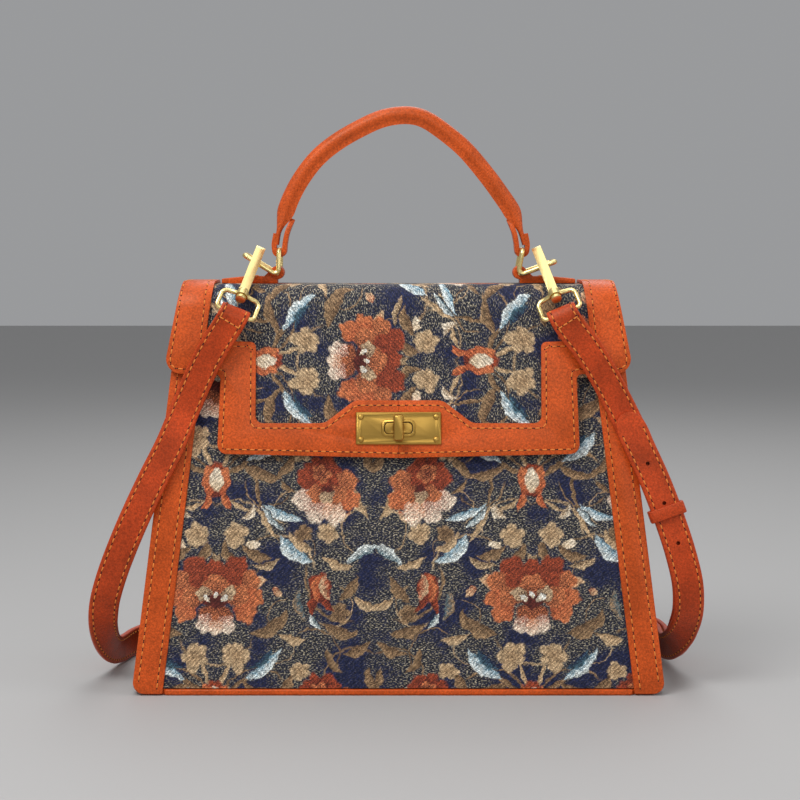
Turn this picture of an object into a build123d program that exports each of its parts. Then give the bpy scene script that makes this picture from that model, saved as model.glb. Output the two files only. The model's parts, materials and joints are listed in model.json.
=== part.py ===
"""Top-handle bag: fabric body with leather bands, flap with a turn lock, rolled handle on
bent double rings, and a shoulder strap held by two lever snap hooks.

Millimetres. X runs to the bag's left-to-right as seen from the front, +Y to the back, +Z up.
The origin is the centre of the base, on the surface that the bag stands on.
"""
from build123d import *
from math import atan, cos, radians, sin
import os

os.makedirs("parts", exist_ok=True)

# Body
base_width = 284.0
base_depth = 120.0
shoulder_width = 243.6
shoulder_height = 176.0
mouth_width = 233.6
mouth_height = 204.0
crown_depth = 46.0          # depth of the body at crown_height, where the flap turns over
crown_height = 213.0
base_thickness = 3.2
base_corner_radius = 6.0
base_side_inset = 8.0       # the base is this much narrower than the bands' feet
base_front_inset = 1.6
base_lip = 1.0              # its leather stands this far out between the bands
base_edge = 0.8
panel_thickness = 2.4
gusset_thickness = 2.0
gusset_fold_shoulder = 6.0  # inward fold of the gusset at the shoulder
gusset_fold_mouth = 15.0    # and at the mouth
lining_thickness = 0.8
seat = 0.1                  # gap between two glued or stitched pieces of one body

# Leather bands over the side seams
band_width = 16.5
band_thickness = 1.6
band_floor_gap = 0.4

# Flap: lining, fabric and leather trim lie on each other
flap_gap = 0.4              # between the front bands and the flap's lining
flap_lining_thickness = 0.8
flap_fabric_thickness = 1.6
trim_thickness = 1.6
crown_radius = 16.0         # of the fabric's outer face, where it turns over the top
flap_back_height = 190.0
flap_trim_overhang = 0.6    # of the trims past the fabric
hem_corner_radius = 5.0
notch_radius = 3.0
wing_corner_radius = 8.0
hem_centre_height = 125.2
hem_corner = (97.0, 127.4)
notch = (95.4, 169.5)
wing_corner = (126.4, 169.9)
wing_top = (115.8, 225.0)
window_shelf_rise = 7.0     # raised part of the window's lower edge, above the lock plate
window_shelf_reach = 0.7    # and past the plate's ends
window_slope_half = 39.6
window_sill_height = 143.5
window_half = 76.6
window_head_height = 186.6
window_radii = (8, 8, 4, 3, 5)   # at its corners, from the shelf round to the wing
wing_inner_foot = (103.8, 187.6)
wing_inner_top = (98.9, 225.0)

# Turn lock
lock_height = 139.8
lock_plate_width = 45.8
lock_plate_height = 17.6
lock_plate_thickness = 1.3
lock_frame_width = 18.6
lock_frame_height = 9.4
lock_frame_rise = 0.9
lock_slot_width = 15.4
lock_slot_height = 6.6
lock_block_width = 14.6
lock_block_height = 5.8
lock_sheet_thickness = 0.8
lock_base_thickness = 0.9
knob_length = 14.0
knob_width = 5.4
knob_rise = 4.2
knob_stem_radius = 1.9
knob_running_gap = 0.05
rivet_spacing_x = 40.4
rivet_spacing_z = 12.2
rivet_head_radius = 1.5
rivet_shank_radius = 0.75
rivet_head_rise = 0.7
rivet_head_edge = 0.4
knob_hole_radius = 3.3      # through the front panel
knob_foot_radius = 2.8
knob_foot_thickness = 1.0
knob_edge = 0.9
knob_clear = 0.5            # between the knob and the block it turns over
lock_pad_width = 26.0       # of the base plate on the body
lock_pad_height = 14.0
lock_washer_width = 20.0
lock_washer_height = 12.0
lock_prong_spacing = 11.6
lock_prong_width = 1.0
lock_prong_height = 3.0
lock_rim_edge = 0.6
lock_frame_edge = 0.4

# Handle rings: a wire bent to a V, with a bar at each end and one at the bend
wire_radius = 1.35
wire_sides = 14             # of bent wires; bars that leather turns on are round
ring_half_depth = 9.0
ring_bar_x = 66.6
ring_bar_z = 223.2
ring_upright_length = 14.4
ring_leg_length = 21.6
ring_leg_angle = 26.0       # of the outer leg above the horizontal, when the ring stands straight
ring_bend_radius = 2.2
handle_lean = 5.5           # the handle and both rings lean this much to +X at rest

# Handle tabs on the flap
tab_width = 13.2
tab_layer = 1.9
tab_loop_radius = 3.7
tab_outer_x = 97.0
tab_running_gap = 0.06
tab_tip_height = 2.4
tab_slope_start = 14.0      # from the tip, where the tab has both its layers
tab_rise_start = 7.2        # from the bar, where it begins to rise
tab_rise_end = (1.8, 3.2)   # above the bar, where it joins the loop

# Handle
handle_radius = 4.6
handle_core_radius = 3.1
core_sides = 10
handle_end_width = 11.0
handle_loop_radius = 3.9
handle_neck_rise = 3.0      # of the loop's neck above the rolled part's end
handle_neck_half = 3.6
handle_points = [(-63.0, 249.0), (-59.6, 263.0), (-43.5, 288.0), (-14.0, 307.6),
                 (11.0, 311.2), (36.5, 292.5), (57.5, 264.5), (66.2, 248.5)]
handle_radii = [22, 30, 34, 20, 30, 30]
core_end_share = 0.4        # how far along its end run the core begins

# Snap hooks, in the plane of the hook's mouth: u from the spine to the nose, a along the hook
hook_axis = Vector(-0.20, 0.74, 0.60)   # for the hook on the +X side, mirrored for the other
hook_band_width = 5.2
hook_band_thickness = 2.2
hook_mouth_radius = 3.6
hook_length = 37.3          # from the eye to the centre of the top bend
hook_foot = 3.0
hook_wire_station = 31.0    # where the ring's leg crosses the mouth
hook_leg_station = 14.8     # distance of the hook from the ring's bend, along the ring's leg
nose_length = 9.8
gate_pivot_u = 3.0
gate_pivot_a = 7.0
gate_pin_radius = 0.8
pin_fit = 0.02
gate_lug_radius = 1.7
gate_lug_width = 2.2
gate_gap = 0.3              # between its tip and the nose
gate_root_half = 1.5        # of the lever's root, where it leaves the lug
gate_elbow_outer = (5.2, 18.0)
gate_elbow_inner = (2.9, 15.0)
gate_shoulder = (4.6, 13.0)
gate_tip_width = 2.4
gate_tip_cut = 0.9
gate_side_gap = 0.3
rib_radius = 0.45
rib_first = (0.25, 1.6)     # the first rib, in from the tip's corner
rib_step = 1.6
rib_fall = 0.55             # each rib lies this much further in than the one before
step_reach = 4.9            # of the hook's step, which carries the gate
step_top = 7.6
step_root = 10.6
gate_slot_centre = (3.3, 8.2)
gate_slot_size = (4.4, 7.4)
post_end_gap = 0.5          # the post stands this far out of the collar at both ends
foot_disc_radius = 2.6
post_radius = 1.55
post_head_radius = 2.7
post_head_height = 1.8
collar_radius = 3.2
collar_height = 3.2
running_gap = 0.05

# Swivel eyes
eye_wire_radius = 1.25
eye_width = 21.2
eye_drop = 11.5
eye_shoulder = 1.2          # drop of its shoulders below the collar
eye_radii = [3.4, 2.2, 2.2, 3.4]
eye_pitch = 25.0            # the eye hangs this much more upright than the hook

# Strap
strap_width = 16.0
strap_thickness = 3.0
strap_fold_layer = 2.3
strap_gap = 0.3
tail_gap = 0.8              # between the tail and the short strap below it
keeper_length = 6.5
keeper_thickness = 1.6
buckle_wire_radius = 1.4
buckle_length = 18.0
buckle_side_gap = 1.6
prong_radius = 1.0
strap_hole_radius = 1.1
fold_play = 0.08            # between a fold and the bar in it
prong_play = 0.06
prong_slot_length = 10.4    # in the tail, for the prong
prong_slot_width = 3.0
prong_slot_shift = 3.6
prong_room = (8.4, 12.0, 3.8)   # left free in the fold round the heel bar
prong_eye_radius = 2.7
prong_eye_half = 1.5

# Worked out from the sizes above
slope = (base_depth - crown_depth) / 2 / crown_height
lean = atan(slope)
front_out = Vector(0, -cos(lean), sin(lean))


def front_y(z, n):
    """Y of the front face at height z, moved out by n."""
    return -base_depth / 2 + z * slope - n / cos(lean)


def front_plane(z, n):
    """Plane on the front face at height z, moved out by n, facing out."""
    point = Vector(0, front_y(z, 0), z) + front_out * n
    return Plane(origin=point, x_dir=(1, 0, 0), z_dir=front_out)


def half_width(z):
    """Half of the body's width at height z."""
    if z < shoulder_height:
        share = z / shoulder_height
        return (base_width + (shoulder_width - base_width) * share) / 2
    share = (z - shoulder_height) / (mouth_height - shoulder_height)
    return (shoulder_width + (mouth_width - shoulder_width) * share) / 2


def gusset_fold(z):
    """How far the middle of the gusset is drawn in at height z."""
    if z < shoulder_height:
        return gusset_fold_shoulder * z / shoulder_height
    share = (z - shoulder_height) / (mouth_height - shoulder_height)
    return gusset_fold_shoulder + (gusset_fold_mouth - gusset_fold_shoulder) * share


def mirrored(part):
    """The same piece on the other side of the bag."""
    return mirror(part, about=Plane.YZ)


def save(name, part):
    part.label = name
    export_step(part, "parts/" + name + ".step")


window_shelf_height = lock_height + lock_plate_height / 2 + window_shelf_rise
window_shelf_half = lock_plate_width / 2 + window_shelf_reach
lock_n = flap_gap + band_thickness          # inner face of the flap's lining
fabric_n = lock_n + flap_lining_thickness   # inner face of the flap's fabric
trim_n = fabric_n + flap_fabric_thickness   # inner face of the trim
plate_n = trim_n + trim_thickness           # outer face of the trim
panel_foot = base_thickness + seat + panel_thickness * sin(lean)

# Front and back panels; the front one has the lock's holes
with BuildPart() as panel_sheet:
    with BuildSketch(front_plane(0, 0)):
        with BuildLine():
            Polyline(
                (-half_width(panel_foot), panel_foot / cos(lean)),
                (half_width(panel_foot), panel_foot / cos(lean)),
                (shoulder_width / 2, shoulder_height / cos(lean)),
                (mouth_width / 2, mouth_height / cos(lean)),
                (-mouth_width / 2, mouth_height / cos(lean)),
                (-shoulder_width / 2, shoulder_height / cos(lean)),
                close=True,
            )
        make_face()
    extrude(amount=-panel_thickness)
with BuildPart() as front_panel:
    add(panel_sheet.part)
    with BuildSketch(front_plane(lock_height, 1)):
        Circle(knob_hole_radius)
        with GridLocations(lock_prong_spacing, 1, 2, 1):
            Rectangle(lock_prong_width + 2 * seat, lock_prong_height + 2 * seat)
    extrude(amount=-panel_thickness - 2, mode=Mode.SUBTRACT)
save("front_panel", front_panel.part)
save("back_panel", mirror(panel_sheet.part, about=Plane.XZ))

# Base, with its leather turned up a little in front and behind
with BuildPart() as base_panel:
    with BuildSketch():
        RectangleRounded(base_width - base_side_inset, base_depth - base_front_inset, base_corner_radius)
    extrude(amount=base_thickness)
    with BuildSketch():
        Rectangle(base_width - 2 * band_width - 2, base_depth + 2 * base_lip)
    extrude(amount=base_thickness)
    chamfer(base_panel.faces().sort_by(Axis.Z)[0].edges(), base_edge)
save("base_panel", base_panel.part)

# Leather bands over the side seams, front and back
band_foot = band_floor_gap / cos(lean) + band_thickness * sin(lean)
with BuildPart() as band_front_right:
    with BuildSketch(front_plane(0, 0)):
        with BuildLine():
            Polyline(
                (half_width(0) - band_width, band_foot),
                (half_width(0), band_foot),
                (shoulder_width / 2, shoulder_height / cos(lean)),
                (mouth_width / 2, mouth_height / cos(lean)),
                (mouth_width / 2 - band_width, mouth_height / cos(lean)),
                (shoulder_width / 2 - band_width, shoulder_height / cos(lean)),
                close=True,
            )
        make_face()
    extrude(amount=band_thickness)
    foot_edges = band_front_right.edges().filter_by(Axis((0, 0, 0), front_out)).group_by(Axis.Z)[0]
    fillet(foot_edges.sort_by(Axis.X)[-1], base_corner_radius)
band_back_right = mirror(band_front_right.part, about=Plane.XZ)
save("band_front_right", band_front_right.part)
save("band_front_left", mirrored(band_front_right.part))
save("band_back_right", band_back_right)
save("band_back_left", mirrored(band_back_right))


def gusset_section(z):
    """Plan outline of the right gusset at height z: a sheet folded in along its middle."""
    depth = -front_y(z, -panel_thickness) - seat
    outer = half_width(z) - seat
    fold = gusset_fold(z)
    return [
        (outer, -depth),
        (outer - fold, 0),
        (outer, depth),
        (outer - gusset_thickness, depth),
        (outer - fold - gusset_thickness, 0),
        (outer - gusset_thickness, -depth),
    ]


with BuildPart() as gusset_right:
    for height in (base_thickness + seat, shoulder_height, mouth_height):
        with BuildSketch(Plane.XY.offset(height)):
            Polygon(*gusset_section(height), align=None)
    loft(ruled=True)
save("gusset_right", gusset_right.part)
save("gusset_left", mirrored(gusset_right.part))


def lining_section(z, inset):
    """Plan outline of the lining bag at height z, inset from the gussets and panels."""
    wall_depth = -front_y(z, -panel_thickness) - seat
    depth = wall_depth - seat - lining_thickness - inset
    middle = half_width(z) - gusset_thickness - gusset_fold(z) - 3 * seat - inset
    corner = middle + gusset_fold(z) * depth / wall_depth
    return [
        (-corner, -depth),
        (corner, -depth),
        (middle, 0),
        (corner, depth),
        (-corner, depth),
        (-middle, 0),
    ]


lining_foot = base_thickness + seat
lining_top = mouth_height - 3.0
with BuildPart() as lining:
    for height in (lining_foot, shoulder_height, lining_top):
        with BuildSketch(Plane.XY.offset(height)):
            Polygon(*lining_section(height, 0), align=None)
    loft(ruled=True)
    for height in (lining_foot + lining_thickness, shoulder_height, lining_top + 1):
        with BuildSketch(Plane.XY.offset(height)):
            Polygon(*lining_section(min(height, lining_top), lining_thickness), align=None)
    loft(ruled=True, mode=Mode.SUBTRACT)
save("lining", lining.part)


def wrap_points(n):
    """Side profile of the flap's sheet, moved out by n from the body."""
    foot = hem_centre_height - 12
    top = crown_height + n
    return [
        (front_y(foot, n), foot),
        (front_y(top, n), top),
        (-front_y(top, n), top),
        (-front_y(flap_back_height, n), flap_back_height),
    ]


def wrap_sheet(inner_n, outer_n):
    """Sheet that runs up the front, over the top and down the back, between two offsets."""
    radius_of = crown_radius - trim_n
    inner = wrap_points(inner_n)
    outer = wrap_points(outer_n)
    with BuildPart(mode=Mode.PRIVATE) as sheet:
        with BuildSketch(Plane.YZ):
            with BuildLine():
                FilletPolyline(*inner, radius=radius_of + inner_n)
                FilletPolyline(*outer, radius=radius_of + outer_n)
                Line(inner[0], outer[0])
                Line(inner[-1], outer[-1])
            make_face()
        extrude(amount=base_width / 2, both=True)
    return sheet.part


def flap_half(grow, seam):
    """Front view of the flap's right half from the seam on, its outer edge moved out by grow."""
    return [
        (seam, hem_centre_height - grow),
        (hem_corner[0] + grow, hem_corner[1] - grow),
        (notch[0] + grow, notch[1] - grow),
        (wing_corner[0] + grow, wing_corner[1] - grow),
        (wing_top[0] + grow, wing_top[1]),
        (seam, wing_top[1]),
    ]


def flap_prism(grow, with_window):
    """Prism through the bag of the flap's right half, with or without its window."""
    outline = flap_half(grow, seat / 2 if with_window else -0.01)
    with BuildPart(mode=Mode.PRIVATE) as prism:
        with BuildSketch(Plane.XZ) as face:
            with BuildLine():
                Polyline(*outline, close=True)
            make_face()
            fillet(face.vertices().sort_by_distance(outline[1])[0], hem_corner_radius)
            fillet(face.vertices().sort_by_distance(outline[2])[0], notch_radius)
            fillet(face.vertices().sort_by_distance(outline[3])[0], wing_corner_radius)
            if with_window:
                window = [
                    (-1, window_shelf_height),
                    (window_shelf_half, window_shelf_height),
                    (window_slope_half, window_sill_height),
                    (window_half, window_sill_height),
                    (window_half, window_head_height),
                    wing_inner_foot,
                    wing_inner_top,
                    (wing_inner_top[0], wing_top[1] + 5),
                    (-1, wing_top[1] + 5),
                ]
                with BuildSketch(mode=Mode.PRIVATE) as hole:
                    with BuildLine():
                        Polyline(*window, close=True)
                    make_face()
                    for corner, radius in zip(window[1:6], window_radii):
                        fillet(hole.vertices().sort_by_distance(corner)[0], radius)
                add(hole.sketch, mode=Mode.SUBTRACT)
        extrude(amount=base_depth, both=True)
    return prism.part


# Slot and four rivet holes of the lock, through every layer of the flap
with BuildPart() as lock_holes:
    with BuildSketch(front_plane(lock_height, 0.5)):
        RectangleRounded(lock_slot_width, lock_slot_height, 2.4)
        with GridLocations(rivet_spacing_x, rivet_spacing_z, 2, 2):
            Circle(rivet_shank_radius + seat)
    extrude(amount=20)


# Flap: lining and fabric in one width, trims in two halves that meet at the centre
flap_right = flap_prism(-flap_trim_overhang, False)
flap_whole = flap_right + mirrored(flap_right)
with BuildPart() as flap_lining:
    add(wrap_sheet(lock_n, fabric_n))
    add(flap_whole, mode=Mode.INTERSECT)
    add(lock_holes.part, mode=Mode.SUBTRACT)
save("flap_lining", flap_lining.part)

with BuildPart() as flap:
    add(wrap_sheet(fabric_n, trim_n))
    add(flap_whole, mode=Mode.INTERSECT)
    add(lock_holes.part, mode=Mode.SUBTRACT)
save("flap", flap.part)

with BuildPart() as flap_trim_right:
    add(wrap_sheet(trim_n, plate_n))
    add(flap_prism(0, True), mode=Mode.INTERSECT)
    add(lock_holes.part, mode=Mode.SUBTRACT)
save("flap_trim_right", flap_trim_right.part)
save("flap_trim_left", mirrored(flap_trim_right.part))

# Lock: front plate with its slot frame
with BuildPart() as lock_front_plate:
    with BuildSketch(front_plane(lock_height, plate_n)):
        RectangleRounded(lock_plate_width, lock_plate_height, 0.8)
    extrude(amount=lock_plate_thickness)
    chamfer(lock_front_plate.faces().sort_by(Axis((0, 0, 0), front_out))[-1].edges(), lock_rim_edge)
    with BuildSketch(front_plane(lock_height, plate_n + lock_plate_thickness)):
        RectangleRounded(lock_frame_width, lock_frame_height, 3.2)
    extrude(amount=lock_frame_rise)
    chamfer(lock_front_plate.faces().sort_by(Axis((0, 0, 0), front_out))[-1].edges(), lock_frame_edge)
    add(lock_holes.part, mode=Mode.SUBTRACT)
save("lock_front_plate", lock_front_plate.part)

# Lock: thin plate that backs the flap's inner side
with BuildPart() as lock_back_plate:
    with BuildSketch(front_plane(lock_height, lock_n - lock_sheet_thickness)):
        RectangleRounded(lock_plate_width, lock_plate_height, 2)
    extrude(amount=lock_sheet_thickness)
    add(lock_holes.part, mode=Mode.SUBTRACT)
save("lock_back_plate", lock_back_plate.part)

# Lock: four rivets through the flap
rivet_face = plate_n + lock_plate_thickness
with BuildPart() as lock_rivets:
    with BuildSketch(front_plane(lock_height, lock_n - lock_sheet_thickness)):
        with GridLocations(rivet_spacing_x, rivet_spacing_z, 2, 2):
            Circle(rivet_shank_radius)
    extrude(amount=rivet_face - lock_n + lock_sheet_thickness)
    with BuildSketch(front_plane(lock_height, rivet_face)):
        with GridLocations(rivet_spacing_x, rivet_spacing_z, 2, 2):
            Circle(rivet_head_radius)
    extrude(amount=rivet_head_rise)
    chamfer(lock_rivets.faces().group_by(Axis((0, 0, 0), front_out))[-1].edges(), rivet_head_edge)
save("lock_rivets", lock_rivets.part)

# Lock: base plate on the body, with the block that stands through the slot
block_face = rivet_face + lock_frame_rise - 0.3
with BuildPart() as lock_base_plate:
    with BuildSketch(front_plane(lock_height, 0)):
        RectangleRounded(lock_pad_width, lock_pad_height, 3)
    extrude(amount=lock_base_thickness)
    with BuildSketch(front_plane(lock_height, lock_base_thickness)):
        RectangleRounded(lock_block_width, lock_block_height, 2.2)
    extrude(amount=block_face - lock_base_thickness)
    with BuildSketch(front_plane(lock_height, 0)):
        with GridLocations(lock_prong_spacing, 1, 2, 1):
            Rectangle(lock_prong_width, lock_prong_height)
    extrude(amount=-panel_thickness - lock_sheet_thickness)
    with BuildSketch(front_plane(lock_height, -1)):
        Circle(knob_stem_radius + knob_running_gap)
    extrude(amount=block_face + 2, mode=Mode.SUBTRACT)
save("lock_base_plate", lock_base_plate.part)

# Lock: washer behind the front panel, held by the base plate's two prongs
with BuildPart() as lock_inner_washer:
    with BuildSketch(front_plane(lock_height, -panel_thickness - lock_sheet_thickness)):
        RectangleRounded(lock_washer_width, lock_washer_height, 3)
        Circle(knob_hole_radius + seat, mode=Mode.SUBTRACT)
        with GridLocations(lock_prong_spacing, 1, 2, 1):
            Rectangle(lock_prong_width + seat, lock_prong_height + seat, mode=Mode.SUBTRACT)
    extrude(amount=lock_sheet_thickness)
save("lock_inner_washer", lock_inner_washer.part)

# Lock: turn knob on its stem, upright when the lock holds
knob_face = block_face + knob_clear
with BuildPart() as turn_knob:
    with BuildSketch(front_plane(lock_height, knob_face)):
        RectangleRounded(knob_width, knob_length, 1.6)
    extrude(amount=knob_rise)
    top_edges = turn_knob.faces().sort_by(Axis((0, 0, 0), front_out))[-1].edges()
    chamfer(top_edges, knob_edge)
    with BuildSketch(front_plane(lock_height, -2 * seat)):
        Circle(knob_stem_radius)
    extrude(amount=knob_face + 2 * seat)
    with BuildSketch(front_plane(lock_height, -2 * seat - knob_foot_thickness)):
        Circle(knob_foot_radius)
    extrude(amount=knob_foot_thickness)
save("turn_knob", turn_knob.part)

# Handle rings
leg_out = Vector(cos(radians(ring_leg_angle)), 0, sin(radians(ring_leg_angle)))
half_bend = radians(90 - ring_leg_angle) / 2
bend_drop = ring_bend_radius * (1 / sin(half_bend) - 1)
bend_dir = (leg_out + Vector(0, 0, 1)).normalized()
ring_centre = Vector(ring_bar_x, 0, ring_bar_z)
bend_point = ring_centre - bend_dir * bend_drop
upright_end = ring_centre + Vector(0, 0, ring_upright_length - bend_drop)
leg_end = bend_point + leg_out * ring_leg_length
side_y = Vector(0, -ring_half_depth, 0)

with BuildPart() as ring_half:
    with BuildLine() as ring_path:
        FilletPolyline(
            upright_end,
            upright_end + side_y,
            bend_point + side_y,
            leg_end + side_y,
            leg_end,
            radius=ring_bend_radius,
        )
    with BuildSketch(Plane(origin=upright_end, z_dir=(0, -1, 0))):
        RegularPolygon(wire_radius, wire_sides)
    sweep()
with BuildPart() as ring_straight:
    add(ring_half.part)
    add(mirror(ring_half.part, about=Plane.XZ))
    with BuildSketch(Plane(origin=ring_centre, z_dir=(0, 1, 0))):
        Circle(wire_radius)
    extrude(amount=ring_half_depth, both=True)
    with BuildSketch(Plane(origin=upright_end, z_dir=(0, 1, 0))):
        Circle(wire_radius)
    extrude(amount=ring_half_depth - ring_bend_radius, both=True)


def leaned(part, centre):
    """The part turned by the handle's lean about an axis along Y through centre."""
    return part.rotate(Axis((centre.X, centre.Y, centre.Z), (0, 1, 0)), handle_lean)


left_centre = Vector(-ring_bar_x, 0, ring_bar_z)
save("ring_right", leaned(ring_straight.part, ring_centre))
save("ring_left", leaned(mirrored(ring_straight.part), left_centre))

# Handle tabs: a leather strip laid double, looped round the ring's middle bar
tab_bottom = crown_height + trim_n
with BuildPart() as handle_tab_right:
    with BuildSketch(Plane.XZ):
        with BuildLine():
            Polyline(
                (ring_bar_x, tab_bottom),
                (tab_outer_x, tab_bottom),
                (tab_outer_x, tab_bottom + tab_tip_height),
                (tab_outer_x - tab_slope_start, tab_bottom + 2 * tab_layer),
                (ring_bar_x + tab_rise_start, tab_bottom + 2 * tab_layer),
                (ring_bar_x + tab_rise_end[0], ring_bar_z + tab_rise_end[1]),
                (ring_bar_x, ring_bar_z),
                close=True,
            )
        make_face()
        with Locations((ring_bar_x, ring_bar_z)):
            Circle(tab_loop_radius)
            Circle(wire_radius + tab_running_gap, mode=Mode.SUBTRACT)
    extrude(amount=tab_width / 2, both=True)
save("handle_tab_right", handle_tab_right.part)
save("handle_tab_left", mirrored(handle_tab_right.part))

# Handle: rolled leather round a cord, with both ends looped through the rings
ring_rise = upright_end.Z - ring_bar_z
bar_shift = ring_rise * sin(radians(handle_lean))
bar_height = ring_bar_z + ring_rise * cos(radians(handle_lean))
right_bar = (ring_bar_x + bar_shift, bar_height)
left_bar = (-ring_bar_x + bar_shift, bar_height)
handle_route = [(x, 0, z) for x, z in handle_points]
with BuildLine() as handle_path:
    FilletPolyline(*handle_route, radius=handle_radii)
handle_start = Plane(origin=handle_path.line @ 0, z_dir=handle_path.line % 0)


def handle_end(bar, neck):
    """Leather loop round a ring's bar, drawn in to the width of the rolled handle."""
    with BuildPart(mode=Mode.PRIVATE) as loop:
        with BuildSketch(Plane.XZ):
            with BuildLine():
                Polyline(
                    (bar[0] - handle_loop_radius + 2 * seat, bar[1]),
                    (neck[0] - handle_neck_half, neck[1] + handle_neck_rise),
                    (neck[0] + handle_neck_half, neck[1] + handle_neck_rise),
                    (bar[0] + handle_loop_radius - 2 * seat, bar[1]),
                    close=True,
                )
            make_face()
            with Locations(bar):
                Circle(handle_loop_radius)
                Circle(wire_radius + tab_running_gap, mode=Mode.SUBTRACT)
        extrude(amount=handle_end_width / 2, both=True)
    return loop.part


with BuildPart() as handle_cover:
    with BuildSketch(handle_start):
        Circle(handle_radius)
    sweep(path=handle_path.line)
    add(handle_end(left_bar, handle_points[0]))
    add(handle_end(right_bar, handle_points[-1]))
core_start = Vector(*handle_route[0]) * (1 - core_end_share) + Vector(*handle_route[1]) * core_end_share
core_stop = Vector(*handle_route[-1]) * (1 - core_end_share) + Vector(*handle_route[-2]) * core_end_share
with BuildLine() as core_path:
    FilletPolyline(core_start, *handle_route[1:-1], core_stop, radius=handle_radii)
core_plane = Plane(origin=core_path.line @ 0, z_dir=core_path.line % 0)
with BuildPart() as handle_core:
    with BuildSketch(core_plane):
        RegularPolygon(handle_core_radius, core_sides)
    sweep(path=core_path.line)
with BuildPart() as core_room:
    with BuildSketch(core_plane):
        RegularPolygon(handle_core_radius + seat, core_sides)
    sweep(path=core_path.line)
save("handle_cover", handle_cover.part - core_room.part)
save("handle_core", handle_core.part)

# Snap hook frame on the right side, from where the ring's leg crosses the hook's mouth
hook_a = hook_axis.normalized()
hook_v = (leg_out - hook_a * leg_out.dot(hook_a)).normalized()
hook_u = hook_a.cross(hook_v)
mouth_centre = hook_band_thickness / 2 + hook_mouth_radius
leg_cross = bend_point + side_y + leg_out * hook_leg_station
post_point = leg_cross - hook_a * hook_wire_station - hook_u * mouth_centre
hook_plane = Plane(origin=post_point, x_dir=hook_u, z_dir=hook_u.cross(hook_a))
post_plane = Plane(origin=post_point, x_dir=hook_u, z_dir=hook_a)
spine_in = hook_band_thickness / 2
nose_in = spine_in + 2 * hook_mouth_radius
nose_out = nose_in + hook_band_thickness

with BuildPart() as hook_right:
    with BuildSketch(hook_plane):
        with BuildLine():
            Polyline((-spine_in, hook_length), (-spine_in, hook_foot), (step_reach, hook_foot),
                     (step_reach, step_top), (spine_in, step_root), (spine_in, hook_length))
            CenterArc((mouth_centre, hook_length), hook_mouth_radius, 0, 180)
            Polyline((nose_in, hook_length), (nose_in, hook_length - nose_length),
                     (nose_out, hook_length - nose_length), (nose_out, hook_length))
            CenterArc((mouth_centre, hook_length), hook_mouth_radius + hook_band_thickness, 0, 180)
        make_face()
    extrude(amount=hook_band_width / 2, both=True)
    with BuildSketch(hook_plane):
        with Locations(gate_slot_centre):
            Rectangle(*gate_slot_size)
    extrude(amount=gate_lug_width / 2 + seat, both=True, mode=Mode.SUBTRACT)
    with BuildSketch(hook_plane):
        with Locations((gate_pivot_u, gate_pivot_a)):
            Circle(gate_pin_radius + pin_fit)
    extrude(amount=hook_band_width, both=True, mode=Mode.SUBTRACT)
    with BuildSketch(post_plane.offset(collar_height / 2 + seat)):
        Circle(foot_disc_radius)
    extrude(amount=hook_foot - collar_height / 2 + seat)
    with BuildSketch(post_plane.offset(-collar_height / 2 - post_end_gap)):
        Circle(post_radius)
    extrude(amount=collar_height + 2 * post_end_gap)
    with BuildSketch(post_plane.offset(-collar_height / 2 - post_end_gap - post_head_height)):
        Circle(post_head_radius)
    extrude(amount=post_head_height)
save("hook_right", hook_right.part)
save("hook_left", mirrored(hook_right.part))

# Gate lever, its pin and the ribbed thumb end
tip_u = nose_out
tip_a = hook_length - nose_length - gate_gap
with BuildPart() as gate_right:
    with BuildSketch(hook_plane):
        with Locations((gate_pivot_u, gate_pivot_a)):
            Circle(gate_lug_radius)
        with BuildLine():
            Polyline(
                (gate_pivot_u + gate_root_half, gate_pivot_a - 0.4 * gate_root_half),
                gate_elbow_outer,
                gate_elbow_inner,
                (gate_pivot_u - gate_root_half, gate_pivot_a + 0.4 * gate_root_half),
                close=True,
            )
        make_face()
    extrude(amount=gate_lug_width / 2, both=True)
    with BuildSketch(hook_plane):
        with BuildLine():
            Polyline(
                gate_shoulder,
                gate_elbow_outer,
                (tip_u - gate_tip_cut, tip_a - 4),
                (tip_u, tip_a - gate_tip_cut),
                (tip_u - gate_tip_width, tip_a),
                gate_elbow_inner,
                close=True,
            )
        make_face()
    extrude(amount=hook_band_width / 2 - gate_side_gap, both=True)
    with BuildSketch(hook_plane):
        with Locations((gate_pivot_u, gate_pivot_a)):
            Circle(gate_pin_radius + running_gap)
    extrude(amount=hook_band_width, both=True, mode=Mode.SUBTRACT)
    for rib in range(4):
        with BuildSketch(hook_plane):
            with Locations((tip_u - rib_first[0] - rib * rib_fall, tip_a - rib_first[1] - rib * rib_step)):
                Circle(rib_radius)
        extrude(amount=hook_band_width, both=True, mode=Mode.SUBTRACT)
save("gate_right", gate_right.part)
save("gate_left", mirrored(gate_right.part))

with BuildPart() as gate_pin_right:
    with BuildSketch(hook_plane):
        with Locations((gate_pivot_u, gate_pivot_a)):
            Circle(gate_pin_radius)
    extrude(amount=hook_band_width / 2 + 2 * seat, both=True)
save("gate_pin_right", gate_pin_right.part)
save("gate_pin_left", mirrored(gate_pin_right.part))

# Swivel eye: a collar on the hook's post and a rounded D of wire below it
pitch = radians(eye_pitch)
eye_down = (hook_u * sin(pitch) - hook_a * cos(pitch)).normalized()
eye_side = hook_v
eye_half = eye_width / 2


def eye_point(side, down):
    return post_point + eye_side * side + eye_down * down


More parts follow.
